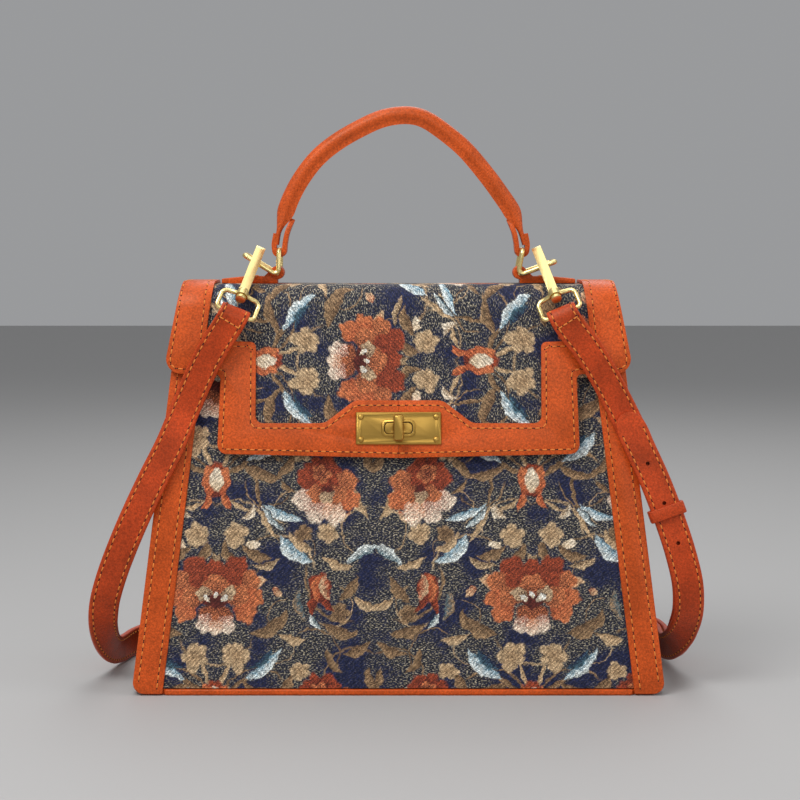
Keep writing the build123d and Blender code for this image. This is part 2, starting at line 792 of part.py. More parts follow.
with BuildPart() as eye_right:
    with BuildLine() as eye_path:
        FilletPolyline(
            eye_point(-collar_radius + 0.6, 0),
            eye_point(-eye_half, eye_shoulder),
            eye_point(-eye_half, eye_drop),
            eye_point(eye_half, eye_drop),
            eye_point(eye_half, eye_shoulder),
            eye_point(collar_radius - 0.6, 0),
            radius=eye_radii,
        )
    with BuildSketch(Plane(origin=eye_path.line @ 0, z_dir=eye_path.line % 0)):
        RegularPolygon(eye_wire_radius, wire_sides)
    sweep()
    with BuildSketch(post_plane.offset(-collar_height / 2)):
        Circle(collar_radius)
    extrude(amount=collar_height)
    with BuildSketch(post_plane.offset(-collar_height)):
        Circle(post_radius + running_gap)
    extrude(amount=2 * collar_height, mode=Mode.SUBTRACT)
save("eye_right", eye_right.part)
save("eye_left", mirrored(eye_right.part))

eye_bar = eye_point(0, eye_drop)

# Strap stations. Each gives the centre, the direction across the strap, its width and thickness.
# The long strap runs down from the left hook, behind the bag on its edge, and up on the right.
fold_start_thickness = 6.2
fold_thickness = 2 * strap_fold_layer
across_left = Vector(eye_side.X, -eye_side.Y, -eye_side.Z)
across_right = eye_side * -1
left_bar_point = Vector(-eye_bar.X, eye_bar.Y, eye_bar.Z)
left_down = Vector(-eye_down.X, eye_down.Y, eye_down.Z)
up = Vector(0, 0, 1)


def station(point, across, width=strap_width, thickness=strap_thickness):
    return (Vector(*point), Vector(*across), width, thickness)


buckle_x = 108.0
buckle_y = 83.4
buckle_z = strap_width / 2 + buckle_side_gap + 2 * buckle_wire_radius + 0.3
buckle_front_x = buckle_x - buckle_length
buckle_front_y = buckle_y - 5.0
fold_radius = eye_wire_radius + fold_play + strap_fold_layer
under_front_bar = buckle_front_y + buckle_wire_radius + strap_gap + strap_thickness / 2
over_heel = buckle_y - fold_radius - strap_gap - strap_thickness / 2

# Short strap on the right, from its hook down to the buckle
keeper_point = Vector(143.3, -46.3, 96.6)
keeper_run = Vector(7.4, -1.9, -20.6).normalized()
keeper_across = (0.94, 0.0, 0.34)
short_stations = [
    (eye_bar + eye_down * 1.5, across_right * -1, strap_width, fold_start_thickness),
    station((93.0, -42.2, 193.4), (0.90, 0, 0.42), thickness=fold_thickness),
    station((98.3, -41.9, 186.8), (0.89, 0, 0.45), thickness=fold_thickness),
    station((103.9, -40.9, 178.6), (0.87, 0, 0.48), thickness=fold_thickness),
    station((104.9, -40.6, 177.0), (0.87, 0, 0.48)),
    station((118.0, -39.6, 153.7), (0.89, 0, 0.45)),
    station((129.0, -42.0, 130.7), (0.91, 0, 0.40)),
    station((136.8, -44.3, 113.5), (0.93, 0, 0.36)),
    (keeper_point - keeper_run * 5, Vector(*keeper_across), strap_width, strap_thickness),
    (keeper_point + keeper_run * 5, Vector(*keeper_across), strap_width, strap_thickness),
    station((150.6, -48.0, 74.5), (0.96, 0.02, 0.26)),
    station((154.4, -47.2, 58.5), (0.98, 0.08, 0.10)),
    station((155.6, -41.5, 44.2), (0.93, 0.25, -0.20)),
    station((155.2, -30.0, 32.0), (0.80, 0.30, -0.50)),
    station((154.6, -15.0, 22.5), (0.60, 0.20, -0.78)),
    station((154.0, 1.0, 15.8), (0.36, 0.08, -0.93)),
    station((153.4, 18.0, 12.4), (0.14, 0.02, -0.99)),
    station((153.0, 36.0, 11.9), (0, 0, -1)),
    station((150.5, 54.0, 12.0), (0, 0, -1)),
    station((143.4, 70.4, 12.3), (0, 0, -1)),
    station((131.0, 79.5, 12.8), (0, 0, -1)),
    station((121.0, 82.6, buckle_z), (0, 0, -1)),
    station((buckle_x + 9.0, buckle_y, buckle_z), (0, 0, -1), thickness=fold_thickness),
    station((buckle_x + 1.5, buckle_y, buckle_z), (0, 0, -1), thickness=fold_start_thickness),
]

# The tail lies over the short strap, from the buckle up to its rounded tip
tail_first = 6
tail_last = 21
tail_offset = strap_thickness + tail_gap


def runs_of(stations):
    """Direction of the strap at each station, from its neighbours."""
    points = [s[0] for s in stations]
    ends = [points[1] - points[0]]
    for before, after in zip(points, points[2:]):
        ends.append(after - before)
    ends.append(points[-1] - points[-2])
    return [run.normalized() for run in ends]


short_runs = runs_of(short_stations)
tail_stations = []
for index in range(tail_first, tail_last + 1):
    centre, across, width, thickness = short_stations[index]
    outward = short_runs[index].cross(across).normalized()
    tail_stations.append((centre + outward * tail_offset, across * -1, strap_width, strap_thickness))
tip_run = (tail_stations[0][0] - tail_stations[1][0]).normalized()
tip_stations = []
for reach, width in ((11.0, 16.0), (16.0, 13.4), (18.6, 9.0), (20.0, 3.0)):
    tip_point = tail_stations[0][0] + tip_run * reach
    tip_stations.append((tip_point, tail_stations[0][1], width, strap_thickness))

long_stations = [
    (left_bar_point + left_down * 1.5, across_left, strap_width, fold_start_thickness),
    station((-92.6, -42.2, 193.4), (0.90, 0, -0.42), thickness=fold_thickness),
    station((-96.9, -41.9, 186.8), (0.90, 0, -0.43), thickness=fold_thickness),
    station((-101.6, -40.9, 178.6), (0.91, 0, -0.42), thickness=fold_thickness),
    station((-102.5, -40.6, 177.0), (0.91, 0, -0.42)),
    station((-112.9, -40.0, 154.0), (0.92, 0, -0.39)),
    station((-122.3, -42.9, 131.7), (0.92, 0, -0.40)),
    station((-131.2, -45.4, 114.0), (0.91, 0, -0.41)),
    station((-139.6, -47.6, 96.2), (0.91, 0, -0.41)),
    station((-147.5, -48.0, 78.0), (0.92, 0, -0.38)),
    station((-154.0, -46.4, 61.0), (0.95, 0, -0.30)),
    station((-158.2, -42.6, 47.0), (0.97, 0.10, -0.15)),
    station((-160.2, -35.0, 35.0), (0.93, 0.28, 0.22)),
    station((-160.6, -24.0, 25.0), (0.78, 0.30, 0.55)),
    station((-160.0, -10.0, 16.8), (0.52, 0.18, 0.83)),
    station((-158.8, 6.0, 11.2), (0.26, 0.06, 0.96)),
    station((-157.0, 23.0, 8.9), (0.08, 0.0, 1.0)),
    station((-153.8, 41.0, 8.6), (0, 0, 1)),
    station((-147.4, 58.0, 8.5), (0, 0, 1)),
    station((-136.0, 71.5, 8.5), (0, 0, 1)),
    station((-118.0, 79.5, 8.5), (0, 0, 1)),
    station((-88.0, 83.5, 8.6), (0, 0, 1)),
    station((-40.0, 85.5, 8.9), (0, 0, 1)),
    station((10.0, 86.0, 9.8), (0, 0, 1)),
    station((52.0, 84.8, 11.6), (0, 0, 1)),
    station((76.0, 82.8, buckle_z - 0.4), (0, 0, 1)),
    station((buckle_front_x, under_front_bar, buckle_z), (0, 0, 1)),
    station((buckle_x, over_heel, buckle_z), (0, 0, 1)),
]
long_stations += list(reversed(tail_stations)) + tip_stations


def strap_planes(stations):
    """Section planes square to the strap, with X across it."""
    planes = []
    for (centre, across, width, thickness), run in zip(stations, runs_of(stations)):
        square_across = across - run * across.dot(run)
        planes.append(Plane(origin=centre, x_dir=square_across, z_dir=run))
    return planes


def fold_plane(bar, across):
    return Plane(origin=bar, x_dir=up.cross(across), z_dir=across)


long_planes = strap_planes(long_stations)
with BuildPart() as strap_long:
    for plane, item in zip(long_planes, long_stations):
        with BuildSketch(plane):
            Rectangle(item[2], item[3])
    loft(ruled=True)
    with BuildSketch(fold_plane(left_bar_point, across_left)):
        Circle(fold_radius)
    extrude(amount=strap_width / 2, both=True)
    with BuildSketch(fold_plane(left_bar_point, across_left)):
        Circle(eye_wire_radius + fold_play)
    extrude(amount=strap_width, both=True, mode=Mode.SUBTRACT)
    hole_planes = long_planes[-8:-5:2]
    for plane in hole_planes:
        with BuildSketch(Plane(origin=plane.origin, x_dir=plane.x_dir, z_dir=plane.y_dir)):
            Circle(strap_hole_radius)
        extrude(amount=strap_thickness, both=True, mode=Mode.SUBTRACT)
    prong_slot_point = (buckle_x - prong_slot_shift, over_heel, buckle_z)
    with BuildSketch(Plane(origin=prong_slot_point, x_dir=(1, 0, 0), z_dir=(0, -1, 0))):
        SlotOverall(prong_slot_length, prong_slot_width)
    extrude(amount=strap_thickness + 1, both=True, mode=Mode.SUBTRACT)
save("strap_long", strap_long.part)

with BuildPart() as strap_short:
    for plane, item in zip(strap_planes(short_stations), short_stations):
        with BuildSketch(plane):
            Rectangle(item[2], item[3])
    loft(ruled=True)
    with BuildSketch(fold_plane(eye_bar, eye_side)):
        Circle(fold_radius)
    extrude(amount=strap_width / 2, both=True)
    with BuildSketch(Plane(origin=(buckle_x, buckle_y, buckle_z))):
        Circle(fold_radius)
    extrude(amount=strap_width / 2, both=True)
    with BuildSketch(fold_plane(eye_bar, eye_side)):
        Circle(eye_wire_radius + fold_play)
    extrude(amount=strap_width, both=True, mode=Mode.SUBTRACT)
    with BuildSketch(Plane(origin=(buckle_x, buckle_y, buckle_z))):
        Circle(eye_wire_radius + fold_play)
    extrude(amount=strap_width, both=True, mode=Mode.SUBTRACT)
    with Locations((buckle_x, buckle_y, buckle_z)):
        Box(*prong_room, mode=Mode.SUBTRACT)
save("strap_short", strap_short.part)

# Keeper loop round both layers
keeper_out = keeper_run.cross(Vector(*keeper_across)).normalized()
keeper_centre = keeper_point + keeper_out * (tail_offset / 2)
keeper_plane = Plane(origin=keeper_centre, x_dir=keeper_across, z_dir=keeper_run)
keeper_inner_w = strap_width + 2 * strap_gap
keeper_inner_h = strap_thickness + tail_offset + 2 * strap_gap
with BuildPart() as strap_keeper:
    with BuildSketch(keeper_plane):
        RectangleRounded(keeper_inner_w + 2 * keeper_thickness, keeper_inner_h + 2 * keeper_thickness, 2.4)
        RectangleRounded(keeper_inner_w, keeper_inner_h, 0.9, mode=Mode.SUBTRACT)
    extrude(amount=keeper_length / 2, both=True)
save("strap_keeper", strap_keeper.part)

# Buckle frame with its heel bar, and the prong through the tail
frame_half = strap_width / 2 + buckle_side_gap + buckle_wire_radius
frame_top = up * frame_half
heel_point = Vector(buckle_x, buckle_y, buckle_z)
front_point = Vector(buckle_front_x, buckle_front_y, buckle_z)
horn_end = heel_point + (heel_point - front_point).normalized() * (buckle_wire_radius + 0.6)
with BuildPart() as buckle_frame:
    with BuildLine() as frame_path:
        FilletPolyline(
            horn_end + frame_top,
            front_point + frame_top,
            front_point - frame_top,
            horn_end - frame_top,
            radius=3,
        )
    with BuildSketch(Plane(origin=frame_path.line @ 0, z_dir=frame_path.line % 0)):
        RegularPolygon(buckle_wire_radius, wire_sides)
    sweep()
    with BuildSketch(Plane(origin=heel_point)):
        Circle(eye_wire_radius)
    extrude(amount=frame_half, both=True)
save("buckle_frame", buckle_frame.part)

prong_y = buckle_front_y - buckle_wire_radius - prong_radius - 0.05
with BuildPart() as buckle_prong:
    with BuildSketch(Plane(origin=heel_point)):
        Circle(prong_eye_radius)
    extrude(amount=prong_eye_half, both=True)
    with BuildLine() as prong_path:
        FilletPolyline(
            (buckle_x - 0.6, buckle_y - 1.9, buckle_z),
            (buckle_x - 5.6, prong_y + 0.6, buckle_z),
            (buckle_x - 9.0, prong_y, buckle_z),
            (buckle_front_x - 1.8, prong_y, buckle_z),
            radius=2.5,
        )
    with BuildSketch(Plane(origin=prong_path.line @ 0, z_dir=prong_path.line % 0)):
        Circle(prong_radius)
    sweep()
    with BuildSketch(Plane(origin=heel_point)):
        Circle(eye_wire_radius + prong_play)
    extrude(amount=3, both=True, mode=Mode.SUBTRACT)
save("buckle_prong", buckle_prong.part)
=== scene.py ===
"""Dresses the top-handle bag: fabric panels and flap, leather bands and trim, rolled handle,
shoulder strap, stitching and metal finishes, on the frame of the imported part.

Metres. X runs left to right as seen from the front, +Y to the back, +Z up.
"""

import functools
import json
import math

import bpy
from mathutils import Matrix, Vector


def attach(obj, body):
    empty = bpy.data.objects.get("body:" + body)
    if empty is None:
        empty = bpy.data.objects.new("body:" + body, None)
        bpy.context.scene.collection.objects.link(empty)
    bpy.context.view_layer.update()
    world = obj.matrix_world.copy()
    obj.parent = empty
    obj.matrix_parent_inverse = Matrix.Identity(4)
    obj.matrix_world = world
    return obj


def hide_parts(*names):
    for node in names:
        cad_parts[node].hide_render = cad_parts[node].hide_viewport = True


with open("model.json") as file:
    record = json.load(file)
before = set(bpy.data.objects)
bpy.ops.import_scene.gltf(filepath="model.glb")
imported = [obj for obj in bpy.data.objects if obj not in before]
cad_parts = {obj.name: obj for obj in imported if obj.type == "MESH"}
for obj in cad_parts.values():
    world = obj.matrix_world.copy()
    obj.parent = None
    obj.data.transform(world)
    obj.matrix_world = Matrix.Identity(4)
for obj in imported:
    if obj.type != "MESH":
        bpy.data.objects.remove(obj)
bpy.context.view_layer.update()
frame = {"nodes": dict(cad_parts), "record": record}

bl_info = {
    "name": "Top-handle bag",
    "version": (1, 0, 0),
    "blender": (4, 5, 0),
    "location": "View3D > Sidebar > Bag",
    "description": "Dresses a top-handle bag with fabric, leather, stitching and metal",
    "category": "Object",
}

MM = 0.001
BODY = "body"
DOUBLE = 1e-6               # points nearer than this are one

# Body, as it is cut
BASE_WIDTH = 284 * MM
BASE_DEPTH = 120 * MM
BASE_THICKNESS = 3.2 * MM
SHOULDER_WIDTH = 243.6 * MM
SHOULDER_HEIGHT = 176 * MM
MOUTH_WIDTH = 233.6 * MM
MOUTH_HEIGHT = 204 * MM
CROWN_DEPTH = 46 * MM
CROWN_HEIGHT = 213 * MM
FOLD_SHOULDER = 6 * MM
FOLD_MOUTH = 15 * MM
BAND_WIDTH = 16.5 * MM
BAND_OUT = 1.6 * MM         # outer faces of bands, flap cloth and trim, out from the body's line
FABRIC_OUT = 4.4 * MM
TRIM_OUT = 6.0 * MM
CROWN_BEND = 11.6 * MM      # bend radius of the body's own line at the crown
SLOPE = (BASE_DEPTH - CROWN_DEPTH) / 2 / CROWN_HEIGHT
LEAN = math.atan(SLOPE)
OUT_Y, OUT_Z = math.cos(LEAN), math.sin(LEAN)
PANEL_TUCK = 1.5 * MM       # how far a panel's edges lie inside the side seams
PANEL_THICK = 2.0 * MM
GUSSET_THICK = 1.8 * MM
GUSSET_IN = 2.3 * MM        # how far a gusset's edges lie behind the panels
FLAP_THICK = 1.2 * MM
LEATHER_EDGE = 0.5 * MM     # bevel of the cut edges of leather

# Seams
STITCH_PITCH = 4.2 * MM
THREAD_RISE = 0.10 * MM     # of a stitch's middle over the leather
THREAD_DIVE = 0.16 * MM     # of its ends below its middle
# place and size of the flat dark marks of painted shade at the needle holes
HOLE_PAST = 0.25 * MM       # from a stitch's end to the middle of its needle hole
HOLE_RISE = 0.05 * MM
HOLE_LONG, HOLE_WIDE = 0.45 * MM, 0.38 * MM
BAND_SEAM_TOP = 200 * MM
# Outer and inner seam of a band: how far in from the body's edge, and the height where it begins
BAND_SEAMS = ((3.8 * MM, 7 * MM), (BAND_WIDTH - 3.0 * MM, 3 * MM))
TAB_HEIGHT = 3.8 * MM
TAB_SEAMS = (-4.6 * MM, 4.6 * MM)
TAB_SEAM_ENDS = (75 * MM, 82 * MM)

# Flap's trim in front view (mm), and how round its seams turn at the corners
HEM = [(0.0, 125.2), (97.0, 127.4), (95.4, 169.5), (126.4, 169.9), (115.8, 225.0)]
WINDOW = [(0.0, 155.6), (23.6, 155.6), (39.6, 143.5), (76.6, 143.5), (76.6, 186.6),
          (103.8, 187.6), (98.9, 225.0)]
HEM_RADII = [3 * MM, 4 * MM, 6 * MM]
WINDOW_RADII = [9 * MM, 6 * MM, 5 * MM, 2 * MM, 6 * MM]

# Jacquard repeat
REPEAT_ACROSS = 169 * MM
REPEAT_ALONG = 116 * MM
THREAD_STEP = 0.4 * MM
CLOTH_DRIFT = 6 * MM
PUT_ACROSS = 97.8 * MM      # cloth at the middle of a panel
PUT_GUSSET = 40 * MM        # cloth at the middle of a gusset
PUT_HEIGHT = 111.7 * MM     # height at which a repeat begins on the panels
PUT_FLAP = 43.0 * MM        # cloth at the middle of the flap, whose repeat is turned


def deselect():
    """Leaves edit mode and selects nothing."""
    if bpy.context.object and bpy.context.object.mode != "OBJECT":
        bpy.ops.object.mode_set(mode="OBJECT")
    bpy.ops.object.select_all(action="DESELECT")


def pick(piece):
    """Selects the piece alone and makes it the active one."""
    deselect()
    piece.select_set(True)
    bpy.context.view_layer.objects.active = piece


def edit(piece, *steps):
    """Runs steps on the whole piece in edit mode."""
    pick(piece)
    bpy.ops.object.mode_set(mode="EDIT")
    bpy.ops.mesh.select_all(action="SELECT")
    for step in steps:
        step()
    bpy.ops.object.mode_set(mode="OBJECT")


def merge():
    """Joins points that lie in one place, in edit mode."""
    bpy.ops.mesh.remove_doubles(threshold=DOUBLE)


def apply_all(piece):
    """Applies every modifier of the piece, in order."""
    pick(piece)
    for modifier in list(piece.modifiers):
        bpy.ops.object.modifier_apply(modifier=modifier.name)


def smooth(piece, degrees=40):
    """Smooth shading, with edges sharper than this kept."""
    pick(piece)
    bpy.ops.object.shade_smooth_by_angle(angle=math.radians(degrees))


def half_width(z):
    """Half of the body's width at height z."""
    if z < SHOULDER_HEIGHT:
        return (BASE_WIDTH + (SHOULDER_WIDTH - BASE_WIDTH) * z / SHOULDER_HEIGHT) / 2
    share = min((z - SHOULDER_HEIGHT) / (MOUTH_HEIGHT - SHOULDER_HEIGHT), 1.2)
    return (SHOULDER_WIDTH + (MOUTH_WIDTH - SHOULDER_WIDTH) * share) / 2


def face_y(z, n):
    """Y of the front face at height z, moved out by n."""
    return -BASE_DEPTH / 2 + z * SLOPE - n / OUT_Y


FLAT_HALF = CROWN_DEPTH / 2 - CROWN_BEND * math.tan((math.pi / 2 - LEAN) / 2)
BEND_TURN = math.pi / 2 - LEAN
BEND_LENGTH = CROWN_BEND * BEND_TURN


def wrap(x, s, n):
    """Point of the flap's sheet: s runs from the middle of the top down the front, n outwards."""
    side = -1 if s >= 0 else 1
    run = abs(s)
    if run <= FLAT_HALF:
        return Vector((x, side * run, CROWN_HEIGHT + n))
    if run <= FLAT_HALF + BEND_LENGTH:
        turn = (run - FLAT_HALF) / CROWN_BEND
        reach = CROWN_BEND + n
        y = FLAT_HALF + reach * math.sin(turn)
        z = CROWN_HEIGHT - CROWN_BEND + reach * math.cos(turn)
        return Vector((x, side * y, z))
    down = run - FLAT_HALF - BEND_LENGTH
    y = FLAT_HALF + CROWN_BEND * math.sin(BEND_TURN) + down * OUT_Z + n * OUT_Y
    z = CROWN_HEIGHT - CROWN_BEND + CROWN_BEND * math.cos(BEND_TURN) - down * OUT_Y + n * OUT_Z
    return Vector((x, side * y, z))


def arc_at(z, n):
    """Distance s down the front at which the sheet's offset n has height z."""
    low, high = 0.0, 0.2
    for _ in range(40):
        middle = (low + high) / 2
        if wrap(0, middle, n).z > z:
            low = middle
        else:
            high = middle
    return low


def new_piece(name, points, faces, slot, body=BODY):
    """A mesh piece from points and faces, riding on a body."""
    mesh = bpy.data.meshes.new(name)
    mesh.from_pydata([tuple(p) for p in points], [], faces)
    mesh.validate()
    piece = bpy.data.objects.new(name, mesh)
    bpy.context.collection.objects.link(piece)
    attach(piece, body)
    return piece


def outward(piece):
    """Merges doubles and turns every face outwards."""
    edit(piece, merge, lambda: bpy.ops.mesh.normals_make_consistent(inside=False))


def thicken(piece, thickness):
    """Gives a sheet its wall, inwards."""
    wall = piece.modifiers.new("Wall", "SOLIDIFY")
    wall.thickness = thickness
    wall.offset = -1.0
    wall.use_even_offset = True
    apply_all(piece)


def copy_of(node, name, slot, material, bevel, body=BODY):
    """A piece that starts as a copy of a node's solid, merged, with its edges rounded."""
    piece = bpy.data.objects.new(name, frame["nodes"][node].data.copy())
    bpy.context.collection.objects.link(piece)
    piece.data.name = name
    edit(piece, merge, lambda: bpy.ops.mesh.dissolve_limited(angle_limit=math.radians(0.6)))
    if bevel:
        edge = piece.modifiers.new("Edge", "BEVEL")
        edge.width = bevel
        edge.segments = 2
        edge.limit_method = "ANGLE"
        edge.angle_limit = math.radians(50)
        apply_all(piece)
    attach(piece, body)
    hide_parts(node)
    smooth(piece, 35)
    finish(piece, material)
    return piece


# Materials

def rgb(red, green, blue):
    """Linear colour from 0-255 values."""
    def linear(value):
        value = value / 255
        return value / 12.92 if value <= 0.04045 else ((value + 0.055) / 1.055) ** 2.4
    return (linear(red), linear(green), linear(blue), 1.0)


def node_in(tree, kind, **settings):
    """A new node with its settings."""
    node = tree.nodes.new(kind)
    for key, value in settings.items():
        setattr(node, key, value)
    return node


def wire(tree, source, target):
    tree.links.new(source, target)


def feed(tree, socket, value):
    """Gives a socket a constant, or the output of another node."""
    if isinstance(value, (int, float, tuple)):
        socket.default_value = value
    else:
        wire(tree, value, socket)


def fill(tree, node, values):
    """Gives a node's named inputs their constants or the outputs of other nodes."""
    for key, value in values.items():
        feed(tree, node.inputs[key], value)


def math_node(tree, operation, *values, clamp=False):
    """The result of one calculation."""
    node = node_in(tree, "ShaderNodeMath", operation=operation, use_clamp=clamp)
    for socket, value in zip(node.inputs, values):
        feed(tree, socket, value)
    return node.outputs[0]


def vector_node(tree, operation, *values):
    """The result of one calculation with vectors or colours."""
    node = node_in(tree, "ShaderNodeVectorMath", operation=operation)
    for socket, value in zip(node.inputs, values):
        feed(tree, socket, value)
    return node.outputs[0]


def scaled(tree, colour, factor):
    """A colour made lighter or darker by a factor."""
    node = node_in(tree, "ShaderNodeVectorMath", operation="SCALE")
    wire(tree, colour, node.inputs[0])
    wire(tree, factor, node.inputs["Scale"])
    return node.outputs[0]


def mix_colour(tree, factor, first, second):
    """The mix of two colours."""
    node = node_in(tree, "ShaderNodeMix", data_type="RGBA", blend_type="MIX")
    for index, value in ((0, factor), (6, first), (7, second)):
        feed(tree, node.inputs[index], value)
    return node.outputs[2]


def noise_in(tree, source, scale, detail=2, roughness=0.5, output="Fac"):
    """Noise from 0 to 1, about 1 / scale metres from one lump to the next."""
    noise = node_in(tree, "ShaderNodeTexNoise")
    fill(tree, noise, {"Vector": source, "Scale": scale, "Detail": detail, "Roughness": roughness})
    return noise.outputs[output]


def stretched(tree, source, scale):
    """The place source, stretched by a scale along each axis."""
    mapping = node_in(tree, "ShaderNodeMapping")
    fill(tree, mapping, {"Vector": source, "Scale": scale})
    return mapping.outputs["Vector"]


def bump_into(tree, shader, height, distance, strength):
    """Roughens the shader's surface by a height."""
    bump = node_in(tree, "ShaderNodeBump")
    fill(tree, bump, {"Height": height, "Distance": distance, "Strength": strength})
    wire(tree, bump.outputs["Normal"], shader.inputs["Normal"])


def new_material(name):
    """A material, its tree and its shader."""
    material = bpy.data.materials.new(name)
    material.use_nodes = True
    return material, material.node_tree, material.node_tree.nodes["Principled BSDF"]


def object_place(tree):
    """The place in the object's own coordinates, in metres."""
    return node_in(tree, "ShaderNodeTexCoord").outputs["Object"]


def times(colour, factor):
    """A constant colour made lighter or darker."""
    return tuple(min(c * factor, 1) for c in colour[:3]) + (1.0,)


def new_group(name, inputs, outputs):
    """A shader node group with named sockets: (name, type, default)."""
    tree = bpy.data.node_groups.new(name, "ShaderNodeTree")
    for label, kind, default in inputs:
        socket = tree.interface.new_socket(label, in_out="INPUT", socket_type=kind)
        if default is not None:
            socket.default_value = default
    for label, kind in outputs:
        tree.interface.new_socket(label, in_out="OUTPUT", socket_type=kind)
    return tree, tree.nodes.new("NodeGroupInput"), tree.nodes.new("NodeGroupOutput")


def use_group(tree, group, **values):
    """A node of the group, with a constant or an output for each input."""
    node = tree.nodes.new("ShaderNodeGroup")
    node.node_tree = group
    fill(tree, node, values)
    return node


def leather_grain_group():
    """Fine grain, pull-up mottling and soft creases of smooth leather."""
    tree, start, end = new_group(
        "Leather grain",
        [("Vector", "NodeSocketVector", None), ("Colour", "NodeSocketColor", (0.5, 0.1, 0.02, 1)),
         ("Mottle", "NodeSocketFloat", 0.25), ("Grain", "NodeSocketFloat", 0.5)],
        [("Colour", "NodeSocketColor"), ("Roughness", "NodeSocketFloat"), ("Height", "NodeSocketFloat")],
    )
    calc = functools.partial(math_node, tree)
    source = start.outputs["Vector"]
    cloud = noise_in(tree, source, 46, 6)
    pores = node_in(tree, "ShaderNodeTexVoronoi", feature="F1")
    fill(tree, pores, {"Vector": source, "Scale": 1350})
    pores = pores.outputs["Distance"]
    crease = noise_in(tree, source, 900, 4, 0.7)
    lift = calc("MULTIPLY", calc("SUBTRACT", cloud, 0.5), start.outputs["Mottle"])
    level = calc("MULTIPLY", calc("MULTIPLY_ADD", lift, 4.0, 1.0), calc("MULTIPLY", crease, 2.0))
    fill(tree, end, {
        "Colour": scaled(tree, start.outputs["Colour"], level),
        "Roughness": calc("MULTIPLY_ADD", pores, 0.1, calc("MULTIPLY_ADD", cloud, 0.22, 0.24)),
        "Height": calc("MULTIPLY_ADD", crease, 1.6, calc("MULTIPLY", pores, start.outputs["Grain"]))})
    return tree


def leather(name, colour, grain_group, mottle=0.25, grain=0.5, depth=0.10 * MM):
    """Smooth leather in one colour."""
    material, tree, shader = new_material(name)
    place = object_place(tree)
    skin = use_group(tree, grain_group, Vector=place, Colour=colour, Mottle=mottle, Grain=grain)
    bump_into(tree, shader, skin.outputs["Height"], depth, 0.6)
    fill(tree, shader, {"Base Color": skin.outputs["Colour"], "Roughness": skin.outputs["Roughness"],
                        "Specular IOR Level": 0.42, "Specular Tint": (1.0, 0.66, 0.48, 1)})
    return material


def metal(name, colour, roughness, brushed=0.0, wear=0.3):
    """Plated metal with fine handling marks, brushed along X when asked."""
    material, tree, shader = new_material(name)
    place = object_place(tree)
    stretch = (60, 1400, 1400) if brushed else (400, 400, 400)
    lines = noise_in(tree, stretched(tree, place, stretch), 1.5, 4)
    share = math_node(tree, "MULTIPLY", noise_in(tree, place, 130, 3), wear)
    bump_into(tree, shader, lines, 0.02 * MM, 0.25 + brushed)
    fill(tree, shader, {
        "Base Color": mix_colour(tree, share, colour, times(colour, 0.62)), "Metallic": 1.0,
        "Roughness": math_node(tree, "MULTIPLY_ADD", lines, 0.16 + brushed, roughness - 0.06)})
    return material


def plain(name, colour, roughness, scale=900):
    """Thread, cord or cloth with a fine speckle."""
    material, tree, shader = new_material(name)
    place = object_place(tree)
    speck = noise_in(tree, place, scale)
    tint = mix_colour(tree, speck, times(colour, 0.75), times(colour, 1.25))
    bump_into(tree, shader, speck, 0.1 * MM, 1.0)
    fill(tree, shader, {"Base Color": tint, "Roughness": roughness})
    return material


def shape_group(name, extra=None):
    """An empty motif group: a place in the motif's own unit space in, its mask and tone out."""
    inputs = [("Vector", "NodeSocketVector", None)]
    if extra:
        inputs.append((extra, "NodeSocketFloat", 0.0))
    outputs = [("Mask", "NodeSocketFloat"), ("Tone", "NodeSocketFloat")]
    tree, start, end = new_group(name, inputs, outputs)
    split = node_in(tree, "ShaderNodeSeparateXYZ")
    wire(tree, start.outputs["Vector"], split.inputs[0])
    calc = functools.partial(math_node, tree)
    return tree, start.outputs, end.inputs, calc, split.outputs[0], split.outputs[1]


def radius_of(tree, place):
    """How far out from the middle of the motif's unit space a place lies."""
    length = node_in(tree, "ShaderNodeVectorMath", operation="LENGTH")
    wire(tree, place, length.inputs[0])
    return length.outputs["Value"]


def petal_group():
    """Rounded petal with a ruffled rim. Its root is at -1 along X and its tone rises to the rim."""
    tree, given, result, calc, along, across = shape_group("Petal")
    length = radius_of(tree, given["Vector"])
    angle = calc("ARCTAN2", across, along)
    ruffle = calc("MULTIPLY_ADD", calc("SINE", calc("MULTIPLY", angle, 5.0)), 0.07, 0.93)
    wire(tree, calc("MULTIPLY", calc("SUBTRACT", ruffle, length), 7.0, clamp=True), result["Mask"])
    streak = calc("SINE", calc("MULTIPLY", angle, 23.0))
    tone = calc("MULTIPLY_ADD", streak, 0.10, calc("MULTIPLY_ADD", along, 0.42, 0.5))
    wire(tree, calc("MAXIMUM", tone, 0.0), result["Tone"])
    return tree


def leaf_group():
    """Pointed leaf from -1 to 1 along X, bowed a little, light on one side of its midrib."""
    tree, given, result, calc, along, across = shape_group("Leaf")
    square = calc("MULTIPLY", along, along)
    bow = calc("MULTIPLY_ADD", square, 0.9, across)
    side = calc("ABSOLUTE", bow)
    edge = calc("SUBTRACT", calc("SUBTRACT", 1.0, square), side)
    wire(tree, calc("MULTIPLY", edge, 6.0, clamp=True), result["Mask"])
    vein = calc("SINE", calc("MULTIPLY_ADD", side, 5.0, calc("MULTIPLY", along, 17.0)))
    tone = calc("MULTIPLY_ADD", vein, 0.14, calc("MULTIPLY_ADD", bow, 0.55, 0.45))
    wire(tree, calc("MAXIMUM", tone, 0.0), result["Tone"])
    return tree


